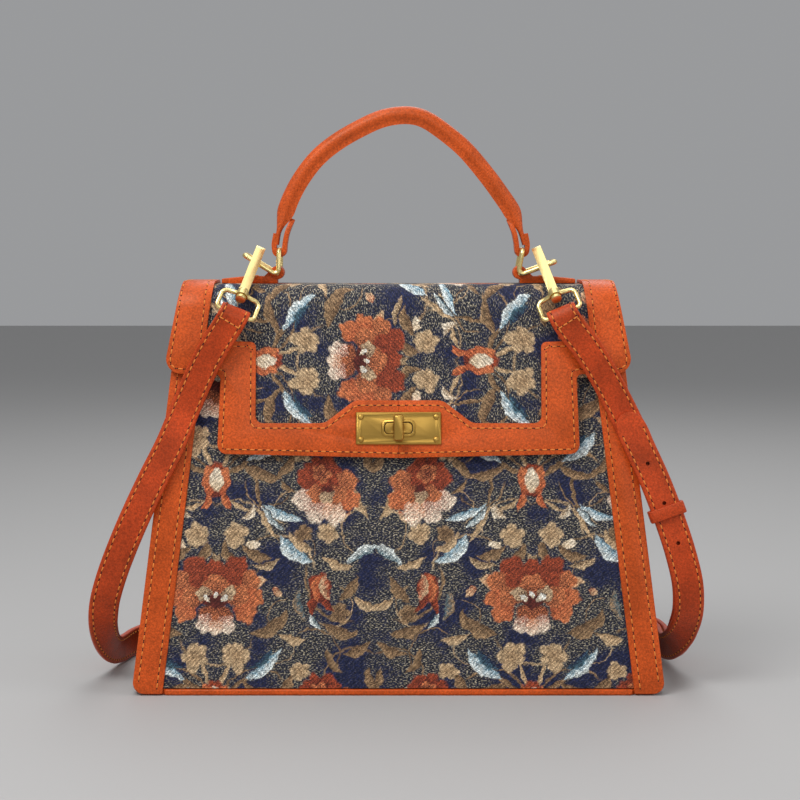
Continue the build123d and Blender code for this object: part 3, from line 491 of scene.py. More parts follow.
def stem_group():
    """Thin arc of a unit circle, on the side of +X beyond the value Reach."""
    tree, given, result, calc, along, across = shape_group("Stem", "Reach")
    ring = calc("ABSOLUTE", calc("SUBTRACT", radius_of(tree, given["Vector"]), 1.0))
    edge = calc("MULTIPLY", calc("SUBTRACT", 0.042, ring), 36.0, clamp=True)
    gate = calc("MULTIPLY", calc("SUBTRACT", along, given["Reach"]), 5.0, clamp=True)
    wire(tree, calc("MULTIPLY", edge, gate), result["Mask"])
    wire(tree, calc("MULTIPLY_ADD", across, 0.4, 0.5), result["Tone"])
    return tree


def blossom_group():
    """Ring of petals in a unit disc, dark in the gaps and lightest at the rim."""
    tree, given, result, calc, along, across = shape_group("Blossom", "Petals")
    length = radius_of(tree, given["Vector"])
    wave = calc("MULTIPLY", calc("ARCTAN2", across, along), given["Petals"])
    wave = calc("ABSOLUTE", calc("SINE", calc("MULTIPLY", wave, 0.5)))
    out = calc("DIVIDE", length, calc("MULTIPLY_ADD", calc("POWER", wave, 0.5), 0.36, 0.62))
    wire(tree, calc("MULTIPLY", calc("SUBTRACT", 1.0, out), 7.0, clamp=True), result["Mask"])
    tone = calc("MULTIPLY", calc("POWER", out, 1.3), calc("MULTIPLY_ADD", wave, 0.75, 0.3))
    wire(tree, tone, result["Tone"])
    return tree


# Thread colours of the jacquard
THREADS = {
    "navy": rgb(26, 34, 70),
    "slate": rgb(38, 40, 50),
    "fleck": rgb(196, 184, 156),
    "rust": rgb(168, 74, 44),
    "orange": rgb(216, 128, 80),
    "dark rust": rgb(92, 38, 32),
    "cream": rgb(246, 232, 208),
    "sand": rgb(216, 186, 146),
    "tan": rgb(166, 134, 98),
    "brown": rgb(104, 78, 56),
    "blue": rgb(98, 144, 166),
    "teal": rgb(72, 104, 116),
    "white": rgb(240, 244, 238),
}

# Motifs of half a repeat, laid in this order, each over the last: kind, across, along, turn in
# degrees, half length, half width (mm), colour at the root, colour at the rim, and for a stem
# or a blossom its own value (reach of the stem, petals of the blossom)
MOTIFS = [
    # scrolling stems
    ("stem", 10, 26, -62, 17, 17, "brown", "sand", 0.35),
    ("stem", 28, 0, 108, 13, 13, "brown", "tan", 0.2),
    ("stem", 40, 14, -150, 9, 9, "sand", "tan", -0.1),
    ("stem", 33, 48, -70, 20, 20, "brown", "sand", 0.4),
    ("stem", 70, 52, 140, 22, 22, "brown", "tan", 0.45),
    ("stem", 62, 66, 30, 11, 11, "tan", "sand", -0.2),
    ("stem", 38, 72, 175, 10, 10, "brown", "tan", -0.2),
    ("stem", 52, 92, -40, 14, 14, "tan", "brown", 0.1),
    ("stem", 0, 76, 90, 21, 21, "brown", "sand", 0.3),
    ("stem", 22, 118, -110, 19, 19, "brown", "tan", 0.35),
    ("stem", 74, 104, -125, 16, 16, "tan", "brown", 0.2),
    ("stem", 80, 26, 200, 13, 13, "tan", "sand", 0.2),
    ("stem", 14, 44, 60, 9, 9, "tan", "brown", 0.0),
    ("stem", 34, 88, 60, 8, 8, "sand", "brown", -0.1),
    ("stem", 46, 36, 20, 7, 7, "tan", "brown", 0.0),
    ("leaf", 22, 3, 82, 12, 1.3, "brown", "tan"),
    ("leaf", 27, 22, 60, 12, 1.4, "tan", "sand"),
    ("leaf", 5, 103, -68, 9, 1.3, "tan", "sand"),
    ("leaf", 12, 108, -32, 11, 1.5, "brown", "tan"),
    # faded leaves woven in brown and tan
    ("leaf", 21, 39, 20, 9, 3.0, "brown", "tan"),
    ("leaf", 27, 44, -14, 8, 2.2, "brown", "sand"),
    ("leaf", 28, 79, -28, 10, 4.2, "brown", "tan"),
    ("leaf", 36, 74, -64, 7, 2.6, "brown", "tan"),
    ("leaf", 44, 66, 78, 9, 2.6, "teal", "tan"),
    ("leaf", 41, 84, 12, 8, 2.4, "tan", "sand"),
    ("leaf", 24, 112, 18, 12, 3.0, "brown", "tan"),
    ("leaf", 38, 108, -48, 9, 2.8, "brown", "tan"),
    ("leaf", 6, 38, 58, 7, 2.8, "brown", "tan"),
    ("leaf", 0.5, 43, 88, 6, 2.4, "brown", "sand"),
    ("leaf", 12, 52, 20, 6, 1.8, "tan", "brown"),
    ("leaf", 64, 44, 18, 9, 2.4, "tan", "sand"),
    ("leaf", 72, 58, -52, 9, 3.0, "brown", "tan"),
    ("leaf", 80, 66, 24, 8, 2.6, "tan", "sand"),
    ("leaf", 66, 80, 14, 10, 3.2, "brown", "tan"),
    ("leaf", 76, 90, -24, 9, 3.0, "brown", "tan"),
    ("leaf", 62, 96, 60, 8, 2.4, "tan", "brown"),
    ("leaf", 82, 106, 70, 8, 2.6, "brown", "tan"),
    ("leaf", 76, 12, 66, 9, 2.6, "tan", "sand"),
    ("leaf", 46, 7, -30, 7, 1.8, "tan", "brown"),
    ("leaf", 38, 3, 40, 6, 1.6, "brown", "tan"),
    ("leaf", 12, 13, 24, 7, 1.4, "tan", "sand"),
    ("leaf", 68, 19, -40, 6, 1.8, "rust", "sand"),
    # pale leaves
    ("leaf", 35, 17.5, 20, 12.0, 2.4, "blue", "white"),
    ("leaf", 29, 19.5, 46, 8.5, 1.7, "teal", "white"),
    ("leaf", 18.5, 16.5, -52, 5.5, 2.6, "tan", "cream"),
    ("leaf", 41, 37.5, 38, 12.0, 4.2, "blue", "white"),
    ("leaf", 44, 33, 40, 9.0, 2.6, "tan", "sand"),
    ("leaf", 77, 37, 148, 10, 2.8, "teal", "white"),
    ("leaf", 27, 98.5, -42, 13.0, 3.3, "blue", "white"),
    ("leaf", 25, 95.5, -40, 8.5, 2.4, "navy", "teal"),
    ("leaf", 52, 74, 62, 6, 1.8, "teal", "white"),
    # small faded blossoms
    ("blossom", 10.4, 28.0, 20, 7.4, 7.0, "tan", "sand", 5),
    ("petal", 10.4, 31.5, 70, 4.2, 4.2, "tan", "sand"),
    ("petal", 20, 33, -10, 4.4, 2.2, "sand", "cream"),
    ("blossom", 60, 27, 50, 6.6, 6.4, "tan", "sand", 5),
    ("blossom", 46.5, 27, 10, 5.6, 5.6, "brown", "tan", 5),
    ("blossom", 11.0, 92, 35, 8.6, 7.4, "tan", "sand", 5),
    ("petal", 12.0, 97.5, 80, 4.6, 4.0, "tan", "sand"),
    ("blossom", 45, 100, 0, 6.0, 5.4, "tan", "sand", 5),
    ("blossom", 66, 70, 30, 6.4, 6.0, "brown", "tan", 5),
    ("petal", 33, 58, 40, 3.4, 2.4, "rust", "sand"),
    # bud between the columns
    ("leaf", 52.0, 64.5, 112, 6.5, 2.2, "dark rust", "rust"),
    ("leaf", 59.0, 64.5, 68, 6.5, 2.2, "dark rust", "rust"),
    ("petal", 55.5, 56, -90, 8.8, 7.0, "dark rust", "rust"),
    ("leaf", 53.2, 56, 96, 8.0, 2.8, "rust", "orange"),
    ("leaf", 57.8, 56, 84, 8.0, 2.8, "rust", "sand"),
    # bud on the axis
    ("leaf", 4.6, 10.0, 72, 6.0, 2.2, "rust", "orange"),
    ("petal", 0, -1.5, -90, 10.0, 8.2, "dark rust", "rust"),
    ("petal", 3.8, -1.0, -84, 8.4, 4.2, "rust", "orange"),
    ("petal", 0, -1.5, -90, 6.8, 4.4, "sand", "cream"),
    # large flower between the columns
    ("petal", 50, -2, 215, 8.4, 7.2, "dark rust", "rust"),
    ("petal", 60, -6, 265, 8.6, 7.8, "dark rust", "rust"),
    ("petal", 69, 0, 330, 8.2, 7.4, "dark rust", "orange"),
    ("petal", 71, 9, 20, 7.0, 6.2, "rust", "orange"),
    ("petal", 48, 9, 160, 8.4, 6.6, "rust", "cream"),
    ("petal", 54, 15, 110, 8.0, 6.4, "rust", "cream"),
    ("petal", 63, 15.5, 75, 8.6, 6.8, "orange", "cream"),
    ("petal", 59, 1, 260, 7.6, 7.0, "dark rust", "rust"),
    ("petal", 65, 6, 10, 6.6, 5.6, "dark rust", "orange"),
    ("petal", 54, 6, 170, 6.6, 5.6, "dark rust", "orange"),
    ("petal", 59.5, 7, 90, 5.2, 4.4, "dark rust", "sand"),
    ("petal", 59.5, 3.4, 0, 3.4, 2.2, "dark rust", "dark rust"),
    # faded flower near the foot
    ("blossom", 56, 109, 15, 10.5, 8.4, "dark rust", "rust", 7),
    ("blossom", 56, 111, 40, 6.4, 5.0, "dark rust", "orange", 5),
    # peony on the axis
    ("petal", 22.0, 53.5, -20, 6.4, 3.0, "orange", "sand"),
    ("petal", 10.5, 46.5, -62, 8.6, 8.0, "dark rust", "rust"),
    ("petal", 0, 48.0, -90, 7.6, 7.8, "dark rust", "rust"),
    ("petal", 17.0, 53.5, -24, 8.0, 7.0, "dark rust", "orange"),
    ("petal", 20.0, 61.5, 8, 6.4, 5.8, "rust", "orange"),
    ("petal", 15.5, 68.5, 48, 7.4, 6.4, "rust", "orange"),
    ("petal", 8.6, 53.0, -48, 7.6, 6.6, "dark rust", "rust"),
    ("petal", 11.5, 60.5, 0, 7.4, 6.6, "dark rust", "orange"),
    ("petal", 0, 55.0, -90, 6.4, 8.2, "dark rust", "orange"),
    ("petal", 6.5, 59.5, -30, 5.4, 4.2, "dark rust", "sand"),
    ("petal", 0, 72.5, 90, 9.4, 10.6, "dark rust", "orange"),
    ("petal", 5.6, 75.5, 70, 5.8, 5.4, "rust", "cream"),
    ("petal", 0, 77.0, 90, 5.0, 4.6, "orange", "cream"),
    ("petal", 0, 63.5, 0, 7.0, 3.8, "dark rust", "dark rust"),
    ("petal", 4.6, 61.4, -50, 2.8, 1.6, "sand", "white"),
    ("petal", 0, 60.2, -90, 2.0, 1.8, "sand", "white"),
]


def cloth_step(tree, source):
    """The place on the cloth, wandering slowly and then held to one thread at a time."""
    drift = noise_in(tree, source, 150, 4, 0.6, "Color")
    centred = vector_node(tree, "SUBTRACT", drift, (0.5, 0.5, 0.5))
    moved = vector_node(tree, "MULTIPLY_ADD", centred, (CLOTH_DRIFT, CLOTH_DRIFT, 0), source)
    return vector_node(tree, "SNAP", moved, (THREAD_STEP, THREAD_STEP, 1))


def jacquard_group(masks):
    """The woven flowers: colour, height and how much thread floats, from a place on the cloth."""
    tree, start, end = new_group(
        "Jacquard", [("Vector", "NodeSocketVector", None)],
        [("Colour", "NodeSocketColor"), ("Height", "NodeSocketFloat"), ("Float", "NodeSocketFloat")])
    calc = functools.partial(math_node, tree)
    source = start.outputs["Vector"]
    split = node_in(tree, "ShaderNodeSeparateXYZ")
    wire(tree, cloth_step(tree, source), split.inputs[0])
    mirrored = calc("PINGPONG", calc("DIVIDE", split.outputs[0], REPEAT_ACROSS), 0.5)
    join = node_in(tree, "ShaderNodeCombineXYZ")
    wire(tree, calc("MULTIPLY", mirrored, REPEAT_ACROSS), join.inputs[0])
    wire(tree, calc("FLOORED_MODULO", split.outputs[1], REPEAT_ALONG), join.inputs[1])
    place = join.outputs[0]

    # grit breaks every colour into threads
    grit = noise_in(tree, stretched(tree, source, (0.8, 1.2, 1)), 1700, 1)
    grit_push = calc("MULTIPLY_ADD", grit, 2.6, -1.3)

    # ground: navy, with clouds of slate that carry pale flecks
    cloudy = calc("MULTIPLY_ADD", noise_in(tree, source, 34, 4), 8.0, -3.2, clamp=True)
    ground = mix_colour(tree, calc("MULTIPLY", cloudy, 0.8), THREADS["navy"], THREADS["slate"])
    speck = noise_in(tree, stretched(tree, source, (0.7, 1.3, 1)), 1250, 1)
    speck = calc("MULTIPLY_ADD", speck, 9.0, -4.75, clamp=True)
    speck = calc("MULTIPLY", speck, calc("MULTIPLY_ADD", cloudy, 0.72, 0.08))
    colour = mix_colour(tree, speck, ground, THREADS["fleck"])

    period = REPEAT_ALONG / MM
    for kind, u, v, turn, length, width, root, rim, *value in MOTIFS:
        reach = max(length, width)
        copies = [v]
        if v - reach < 0:
            copies.append(v + period)
        if v + reach > period:
            copies.append(v - period)
        for along_mm in copies:
            local = node_in(tree, "ShaderNodeMapping", vector_type="TEXTURE")
            fill(tree, local, {
                "Vector": place, "Location": (u * MM, along_mm * MM, 0),
                "Rotation": (0, 0, math.radians(turn)), "Scale": (length * MM, width * MM, 1)})
            shape = use_group(tree, masks[kind], Vector=local.outputs["Vector"])
            if value:
                shape.inputs[1].default_value = value[0]
            tone = calc("MULTIPLY_ADD", grit_push, 0.9, shape.outputs["Tone"], clamp=True)
            tint = mix_colour(tree, tone, THREADS[root], THREADS[rim])
            colour = mix_colour(tree, shape.outputs["Mask"], colour, tint)
            # each motif waits for the one before it, so the shader keeps few values at a time
            place = vector_node(tree, "MULTIPLY_ADD", colour, (1e-9, 1e-9, 0), place)

    # pale threads float highest
    bright = node_in(tree, "ShaderNodeRGBToBW")
    wire(tree, colour, bright.inputs[0])
    floats = calc("MULTIPLY_ADD", bright.outputs[0], 5.0, -0.15, clamp=True)

    # threads: ribs along the cloth, broken by the weave and by slow blotches; the colour is lighter on
    # the ribs and darker between them, painted shade that follows the bump's ribs, with random tone from
    # the grit and the blotches
    weave = node_in(tree, "ShaderNodeTexWave", wave_type="BANDS", bands_direction="DIAGONAL")
    fill(tree, weave, {"Vector": source, "Scale": 260, "Distortion": 1.5, "Detail": 1})
    weave = weave.outputs["Fac"]
    light = calc("MULTIPLY_ADD", weave, 0.36, 0.64)
    light = calc("MULTIPLY", light, calc("MULTIPLY_ADD", grit, 2.4, -0.18))
    blotch = noise_in(tree, source, 480, 3)
    light = calc("MULTIPLY", light, calc("MULTIPLY_ADD", blotch, 2.6, -0.28))
    fill(tree, end, {"Colour": scaled(tree, colour, light), "Float": floats,
                     "Height": calc("MULTIPLY_ADD", grit, 0.9, weave)})
    return tree


def jacquard(name, cloth_group):
    """The flowered cloth, on the piece's own map in metres of cloth."""
    material, tree, shader = new_material(name)
    uv = node_in(tree, "ShaderNodeUVMap", uv_map="Cloth")
    cloth = use_group(tree, cloth_group, Vector=uv.outputs["UV"])
    rough = math_node(tree, "MULTIPLY_ADD", cloth.outputs["Float"], -0.12, 0.78)
    bump_into(tree, shader, cloth.outputs["Height"], 0.16 * MM, 0.7)
    fill(tree, shader, {"Base Color": cloth.outputs["Colour"], "Roughness": rough,
                        "Specular IOR Level": 0.3, "Sheen Weight": 0.12, "Sheen Roughness": 0.4})
    return material


materials = {}


def build_materials(colours):
    """Every finish of the bag, once."""
    grain = leather_grain_group()
    masks = {"petal": petal_group(), "leaf": leaf_group(), "stem": stem_group(),
             "blossom": blossom_group()}
    chosen = (colours.leather, colours.strap, colours.thread, colours.gold, colours.brass)
    body, strap, thread, gold, brass = (tuple(colour) + (1.0,) for colour in chosen)
    materials.update({
        "leather": leather("Body leather", body, grain),
        "strap": leather("Strap leather", strap, grain, mottle=0.4, depth=0.16 * MM),
        # edge paint of the strap, made a tenth lighter than the strap: painted highlight on its rounded
        # edges
        "strap edge paint and highlight": leather("Strap edge paint and highlight", times(strap, 1.1), grain, mottle=0.1, grain=0.2),
        "inner leather": leather("Inner leather", times(body, 0.7), grain, mottle=0.2, grain=0.8),
        "jacquard": jacquard("Jacquard cloth", jacquard_group(masks)),
        "lining": plain("Lining cloth", rgb(150, 120, 88), 0.8, 1500),
        "thread": plain("Stitching thread", thread, 0.6, 2500),
        # near-black flat marks at the needle holes: painted shade inside the holes
        "hole": plain("Needle hole", rgb(52, 20, 10), 0.9),
        "cord": plain("Handle cord", rgb(190, 178, 150), 0.8),
        "gold": metal("Gold plate", gold, 0.30, wear=0.15),
        "brass": metal("Antique brass", brass, 0.32, brushed=0.12, wear=0.7),
    })


def finish(piece, *names):
    """Puts the named finishes in the piece's material slots."""
    piece.data.materials.clear()
    for name in names:
        piece.data.materials.append(materials[name])


def map_cloth(piece, place):
    """Gives each corner of the piece its place on the cloth, in metres, by place(point, its number)."""
    layer = piece.data.uv_layers.new(name="Cloth")
    points = piece.data.vertices
    for loop in piece.data.loops:
        layer.data[loop.index].uv = place(points[loop.vertex_index].co, loop.vertex_index)


# Stitching

def rounded_path(corners, radii):
    """Points along a run of straight lines whose corners are rounded."""
    points = [corners[0]]
    for before, corner, after, radius in zip(corners, corners[1:], corners[2:], radii):
        enter = (before - corner).normalized()
        leave = (after - corner).normalized()
        half = enter.angle(leave) / 2
        reach = min(radius / math.tan(half), (before - corner).length / 2, (after - corner).length / 2)
        first, last = corner + enter * reach, corner + leave * reach
        for index in range(9):
            t = index / 8
            points.append(first * (1 - t) ** 2 + corner * 2 * t * (1 - t) + last * t * t)
    points.append(corners[-1])
    return points


def walk(points):
    """One place for each stitch along a path, with the direction of the path there."""
    lengths = [(b - a).length for a, b in zip(points, points[1:])]
    total = sum(lengths)
    count = max(int(total / STITCH_PITCH), 1)
    places = []
    index, done = 0, 0.0
    for number in range(count):
        target = (number + 0.5) * total / count
        while index < len(lengths) - 1 and done + lengths[index] < target:
            done += lengths[index]
            index += 1
        share = (target - done) / max(lengths[index], 1e-9)
        place = points[index].lerp(points[index + 1], share)
        places.append((place, (points[index + 1] - points[index]).normalized()))
    return places


def stitch_template():
    """Points and faces of a unit ball, from which each stitch is drawn out."""
    deselect()
    bpy.ops.mesh.primitive_uv_sphere_add(segments=6, ring_count=5, radius=1)
    seed = bpy.context.object
    points = [v.co.copy() for v in seed.data.vertices]
    faces = [tuple(p.vertices) for p in seed.data.polygons]
    bpy.data.objects.remove(seed, do_unlink=True)
    return points, faces


def sew(name, seams, slot, body=BODY):
    """Stitches, and flat dark marks of painted shade at their needle holes, at each (place, along, out)
    of the seams.
    """
    sizes = bpy.context.scene.bag_sizes
    length, thickness = sizes.stitch_length, sizes.stitch_thickness
    template, template_faces = stitch_template()
    points, faces = [], []
    hole_points, hole_faces = [], []
    for place, along, out in seams:
        side = out.cross(along).normalized()
        start = len(points)
        for p in template:
            # the thread dives into the leather at both ends
            rise = p.y * thickness * 0.8 + THREAD_RISE - THREAD_DIVE * p.z * p.z
            points.append(place + along * p.z * length / 2 + side * p.x * thickness + out * rise)
        faces += [tuple(i + start for i in f) for f in template_faces]
        # a flat dark hexagon just over the leather at each end of the stitch: painted shade of its needle
        # hole
        for end in (-1, 1):
            centre = place + along * end * (length / 2 + HOLE_PAST) + out * HOLE_RISE
            first = len(hole_points)
            for corner in range(6):
                angle = corner * math.pi / 3
                reach = along * math.cos(angle) * HOLE_LONG + side * math.sin(angle) * HOLE_WIDE
                hole_points.append(centre + reach)
            hole_faces.append(tuple(range(first, first + 6)))
    thread = new_piece(name, points, faces, slot, body)
    finish(thread, "thread")
    pick(thread)
    bpy.ops.object.shade_smooth()
    outward(thread)
    holes = new_piece(name + "_holes", hole_points, hole_faces, slot, body)
    finish(holes, "hole")


def face_seam(path, n, back=False):
    """Seam places on the body's front face from a path of (x, z) in metres."""
    places = []
    turn = -1 if back else 1
    out = Vector((0, -OUT_Y * turn, OUT_Z))
    for place, along in walk(path):
        point = Vector((place[0], face_y(place[1], 0) * turn, place[1])) + out * n
        run = Vector((along[0], along[1] * SLOPE * turn, along[1])).normalized()
        places.append((point, run, out))
    return places


def wrap_seam(path, n):
    """Seam places on the flap from a path of (x, s) in metres."""
    places = []
    for place, along in walk(path):
        here = wrap(place[0], place[1], n)
        ahead = wrap(place[0] + along[0] * MM, place[1] + along[1] * MM, n)
        out = (wrap(place[0], place[1], n + MM) - here).normalized()
        places.append((here, (ahead - here).normalized(), out))
    return places


# Properties

class BagSizes(bpy.types.PropertyGroup):
    """Sizes that the steps take"""
    puff: bpy.props.FloatProperty(
        name="Panel fullness", default=0.0012, unit="LENGTH",
        description="How far the front and back cloth stands proud in its middle")
    stitch_length: bpy.props.FloatProperty(
        name="Stitch length", default=0.0029, unit="LENGTH", description="Length of one visible stitch")
    stitch_thickness: bpy.props.FloatProperty(
        name="Thread thickness", default=0.00042, unit="LENGTH",
        description="Half thickness of the thread")
    edge_inset: bpy.props.FloatProperty(
        name="Seam inset", default=0.0026, unit="LENGTH",
        description="Distance of the flap's seams from the trim's edge")


class BagColours(bpy.types.PropertyGroup):
    """Colours of the finishes"""
    leather: bpy.props.FloatVectorProperty(
        name="Leather", default=rgb(200, 82, 30)[:3], subtype="COLOR",
        description="Colour of the body's leather")
    strap: bpy.props.FloatVectorProperty(
        name="Strap", default=rgb(182, 64, 26)[:3], subtype="COLOR",
        description="Colour of the shoulder strap")
    thread: bpy.props.FloatVectorProperty(
        name="Thread", default=rgb(236, 136, 52)[:3], subtype="COLOR",
        description="Colour of the stitching")
    gold: bpy.props.FloatVectorProperty(
        name="Gold", default=rgb(255, 232, 160)[:3], subtype="COLOR",
        description="Colour of the gold plate")
    brass: bpy.props.FloatVectorProperty(
        name="Brass", default=rgb(206, 164, 82)[:3], subtype="COLOR",
        description="Colour of the lock")


# Pieces

def grid_piece(name, columns, rows, place, slot, body=BODY):
    """A sheet of columns by rows cells; place(i, j) gives each point for i, j from 0 to 1."""
    points, faces = [], []
    for row in range(rows + 1):
        for column in range(columns + 1):
            points.append(place(column / columns, row / rows))
    for row in range(rows):
        for column in range(columns):
            first = row * (columns + 1) + column
            faces.append((first, first + 1, first + columns + 2, first + columns + 1))
    return new_piece(name, points, faces, slot, body)


def ripple(x, z, seed=0.0):
    """Gentle unevenness of cloth over its stiffener, from -1 to 1."""
    return (math.sin(x * 41 + z * 23 + seed) * 0.5 + math.sin(x * 17 - z * 57 + seed * 2) * 0.3
            + math.sin(x * 90 + z * 71 + seed * 3) * 0.2)


class BAG_OT_panels(bpy.types.Operator):
    """Front and back panels of flowered cloth, full in the middle and flat under the bands"""
    bl_idname = "bag.panels"
    bl_label = "Cloth panels"

    def execute(self, context):
        puff = context.scene.bag_sizes.puff
        low = BASE_THICKNESS + 0.5 * MM
        for name, turn in (("front_panel", 1), ("back_panel", -1)):
            def place(i, j):
                z = low + (MOUTH_HEIGHT - low) * j
                reach = half_width(z) - PANEL_TUCK
                x = (i * 2 - 1) * reach
                # flat at the foot, near the mouth and under the bands
                rise = math.sin(math.pi * i) ** 0.6 * math.sin(math.pi * min(j * 1.25 + 0.02, 1)) ** 0.6
                near_band = min(1.0, (reach - abs(x)) / (BAND_WIDTH * 1.4))
                n = (puff + ripple(x, z, turn) * 0.35 * MM) * rise * near_band
                out = Vector((0, -OUT_Y * turn, OUT_Z))
                return Vector((x, face_y(z, 0) * turn, z)) + out * n
            piece = grid_piece("cloth_" + name, 110, 80, place, "jacquard_fabric")
            outward(piece)
            thicken(piece, PANEL_THICK)
            map_cloth(piece, lambda co, number: (co.x + PUT_ACROSS, (PUT_HEIGHT - co.z) / OUT_Y))
            finish(piece, "jacquard")
            smooth(piece)
            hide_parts(name)
        return {"FINISHED"}


def gusset_fold(z):
    """How far in the gusset's middle folds at height z."""
    if z < SHOULDER_HEIGHT:
        return FOLD_SHOULDER * z / SHOULDER_HEIGHT
    share = min((z - SHOULDER_HEIGHT) / (MOUTH_HEIGHT - SHOULDER_HEIGHT), 1)
    return FOLD_SHOULDER + (FOLD_MOUTH - FOLD_SHOULDER) * share


class BAG_OT_gussets(bpy.types.Operator):
    """Side gussets that fold in along their middle towards the mouth"""
    bl_idname = "bag.gussets"
    bl_label = "Gussets"

    def execute(self, context):
        low = BASE_THICKNESS + 0.3 * MM
        for name, side in (("gusset_left", -1), ("gusset_right", 1)):
            def place(i, j):
                z = low + (MOUTH_HEIGHT - low) * j
                y = (1 - i * 2) * face_y(z, -GUSSET_IN)
                share = 1 - abs(i * 2 - 1)
                fold = gusset_fold(z) * share ** 1.15
                fold += ripple(y, z, side) * 0.5 * MM * math.sin(math.pi * i)
                return Vector((side * (half_width(z) - 0.2 * MM - fold), y, z))
            piece = grid_piece("cloth_" + name, 48, 70, place, "jacquard_fabric")
            if side < 0:
                edit(piece, bpy.ops.mesh.flip_normals)
            thicken(piece, GUSSET_THICK)
            map_cloth(piece, lambda co, number: (co.y + PUT_GUSSET, PUT_HEIGHT - co.z))
            finish(piece, "jacquard")
            smooth(piece)
            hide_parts(name)
        return {"FINISHED"}


class BAG_OT_leather(bpy.types.Operator):
    """Leather bands over the side seams, and the base"""
    bl_idname = "bag.leather"
    bl_label = "Bands and base"

    def execute(self, context):
        seams = []
        for node in ("band_front_left", "band_front_right", "band_back_left", "band_back_right"):
            copy_of(node, "leather_" + node, "body_leather", "leather", LEATHER_EDGE)
            side = -1 if "left" in node else 1
            for inset, low in BAND_SEAMS:
                corners = ((0, low), (SHOULDER_HEIGHT, SHOULDER_HEIGHT), (BAND_SEAM_TOP, BAND_SEAM_TOP))
                path = [Vector((side * (half_width(wide_at) - inset), z)) for wide_at, z in corners]
                seams += face_seam(path, BAND_OUT, "back" in node)
        sew("stitches_bands", seams, "body_leather")
        copy_of("base_panel", "leather_base_panel", "body_leather", "leather", 0.7 * MM)
        return {"FINISHED"}


def offset_path(corners, inset, centre_side):
    """The corners of an outline moved to one side by inset."""
    vectors = [Vector(c) for c in corners]
    normals = []
    for a, b in zip(vectors, vectors[1:]):
        run = (b - a).normalized()
        normals.append(Vector((-run.y, run.x)))
    moved = []
    for corner, before, after in zip(vectors, normals[:1] + normals, normals + normals[-1:]):
        middle = (before + after).normalized()
        moved.append(corner + middle * inset * centre_side / max(middle.dot(before), 0.3))
    return moved


# Flap's cloth: heights of its hem in front, of the notch under the wings and of its hem behind,
# half widths below and above the notch, and its cells across and along
FLAP_HEM, FLAP_NOTCH, FLAP_BACK = 129 * MM, 168 * MM, 190.5 * MM
FLAP_NARROW, FLAP_WIDE = 92.5 * MM, 111.5 * MM
FLAP_COLUMNS, FLAP_ROWS = 100, 130
FLAP_AXIS = 176.8 * MM      # height of the turned repeat's axis


def trim_line(corners):
    """Corners (x, z) of the trim in front view as (x, s) on the sheet, in metres."""
    return [(x * MM, arc_at(z * MM, TRIM_OUT) if z < 220 else 0.0) for x, z in corners]


class BAG_OT_flap(bpy.types.Operator):
    """Flap: cloth that runs over the top, its lining and the sewn leather trim round the window"""
    bl_idname = "bag.flap"
    bl_label = "Flap"

    def execute(self, context):
        hem, notch, axis = (arc_at(z, FABRIC_OUT) for z in (FLAP_HEM, FLAP_NOTCH, FLAP_AXIS))
        back = -arc_at(FLAP_BACK, FABRIC_OUT)

        def place(i, j):
            s = back + (hem - back) * j
            x = (i * 2 - 1) * (FLAP_NARROW if s > notch else FLAP_WIDE)
            n = FABRIC_OUT + ripple(x, s, 5) * 0.25 * MM * math.sin(math.pi * i) ** 0.5
            return wrap(x, s, n - 0.25 * MM)

        def on_cloth(co, number):
            s = back + (hem - back) * (number // (FLAP_COLUMNS + 1)) / FLAP_ROWS
            return (s - axis, PUT_FLAP - co.x)
        cloth = grid_piece("cloth_flap", FLAP_COLUMNS, FLAP_ROWS, place, "jacquard_fabric")
        edit(cloth, bpy.ops.mesh.flip_normals)
        map_cloth(cloth, on_cloth)
        thicken(cloth, FLAP_THICK)
        finish(cloth, "jacquard")
        smooth(cloth)
        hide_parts("flap")
        copy_of("flap_lining", "leather_flap_lining", "lining_leather", "inner leather", 0)

        inset = context.scene.bag_sizes.edge_inset
        outer = rounded_path(offset_path(trim_line(HEM), inset, -1), HEM_RADII)
        inner = rounded_path(offset_path(trim_line(WINDOW), inset, 1), WINDOW_RADII)
        seams = []
        for node, side in (("flap_trim_left", -1), ("flap_trim_right", 1)):
            copy_of(node, "leather_" + node, "body_leather", "leather", LEATHER_EDGE)
            for path in (outer, inner):
                seams += wrap_seam([Vector((p.x * side, p.y)) for p in path], TRIM_OUT)
        sew("stitches_flap", seams, "body_leather")
        return {"FINISHED"}


# Handle, in the plane Y = 0
HANDLE_LINE = [(-67.1, 238.5), (-66.0, 245.0), (-63.6, 253.0), (-59.6, 264.0), (-53.6, 275.0),
               (-45.0, 286.0), (-34.0, 295.0), (-20.0, 303.0), (-8.0, 308.0), (4.0, 309.6), (14.0, 307.6),
               (25.0, 300.6), (37.0, 290.5), (48.5, 277.0), (57.0, 265.5), (62.6, 257.0), (66.6, 247.5),
               (69.4, 238.5)]
RING_BARS = (("left", (-65.407, 235.591), -1), ("right", (67.793, 235.591), 1))
HANDLE_RADIUS = 4.5 * MM
FLAT_WIDTH = 5.6 * MM       # half width of the handle's flat ends
FLAT_THICK = 1.25 * MM      # half thickness where the tube flattens
FOLD_THICK = 1.3 * MM       # half thickness of the folds round the rings
FOLD_REACH = 2.7            # how far from the ring's bar the fold's middle lies (mm)
FLANGE = 2.1 * MM           # how far the sewn edges stand out from the tube
FLANGE_AT = 0.55            # angle from the inner side, and how far the edges spread (radians)
FLANGE_SPREAD = 0.2
ROLL_FROM, ROLL_OVER = 6 * MM, 14 * MM          # where the strip begins to roll up, and over what length
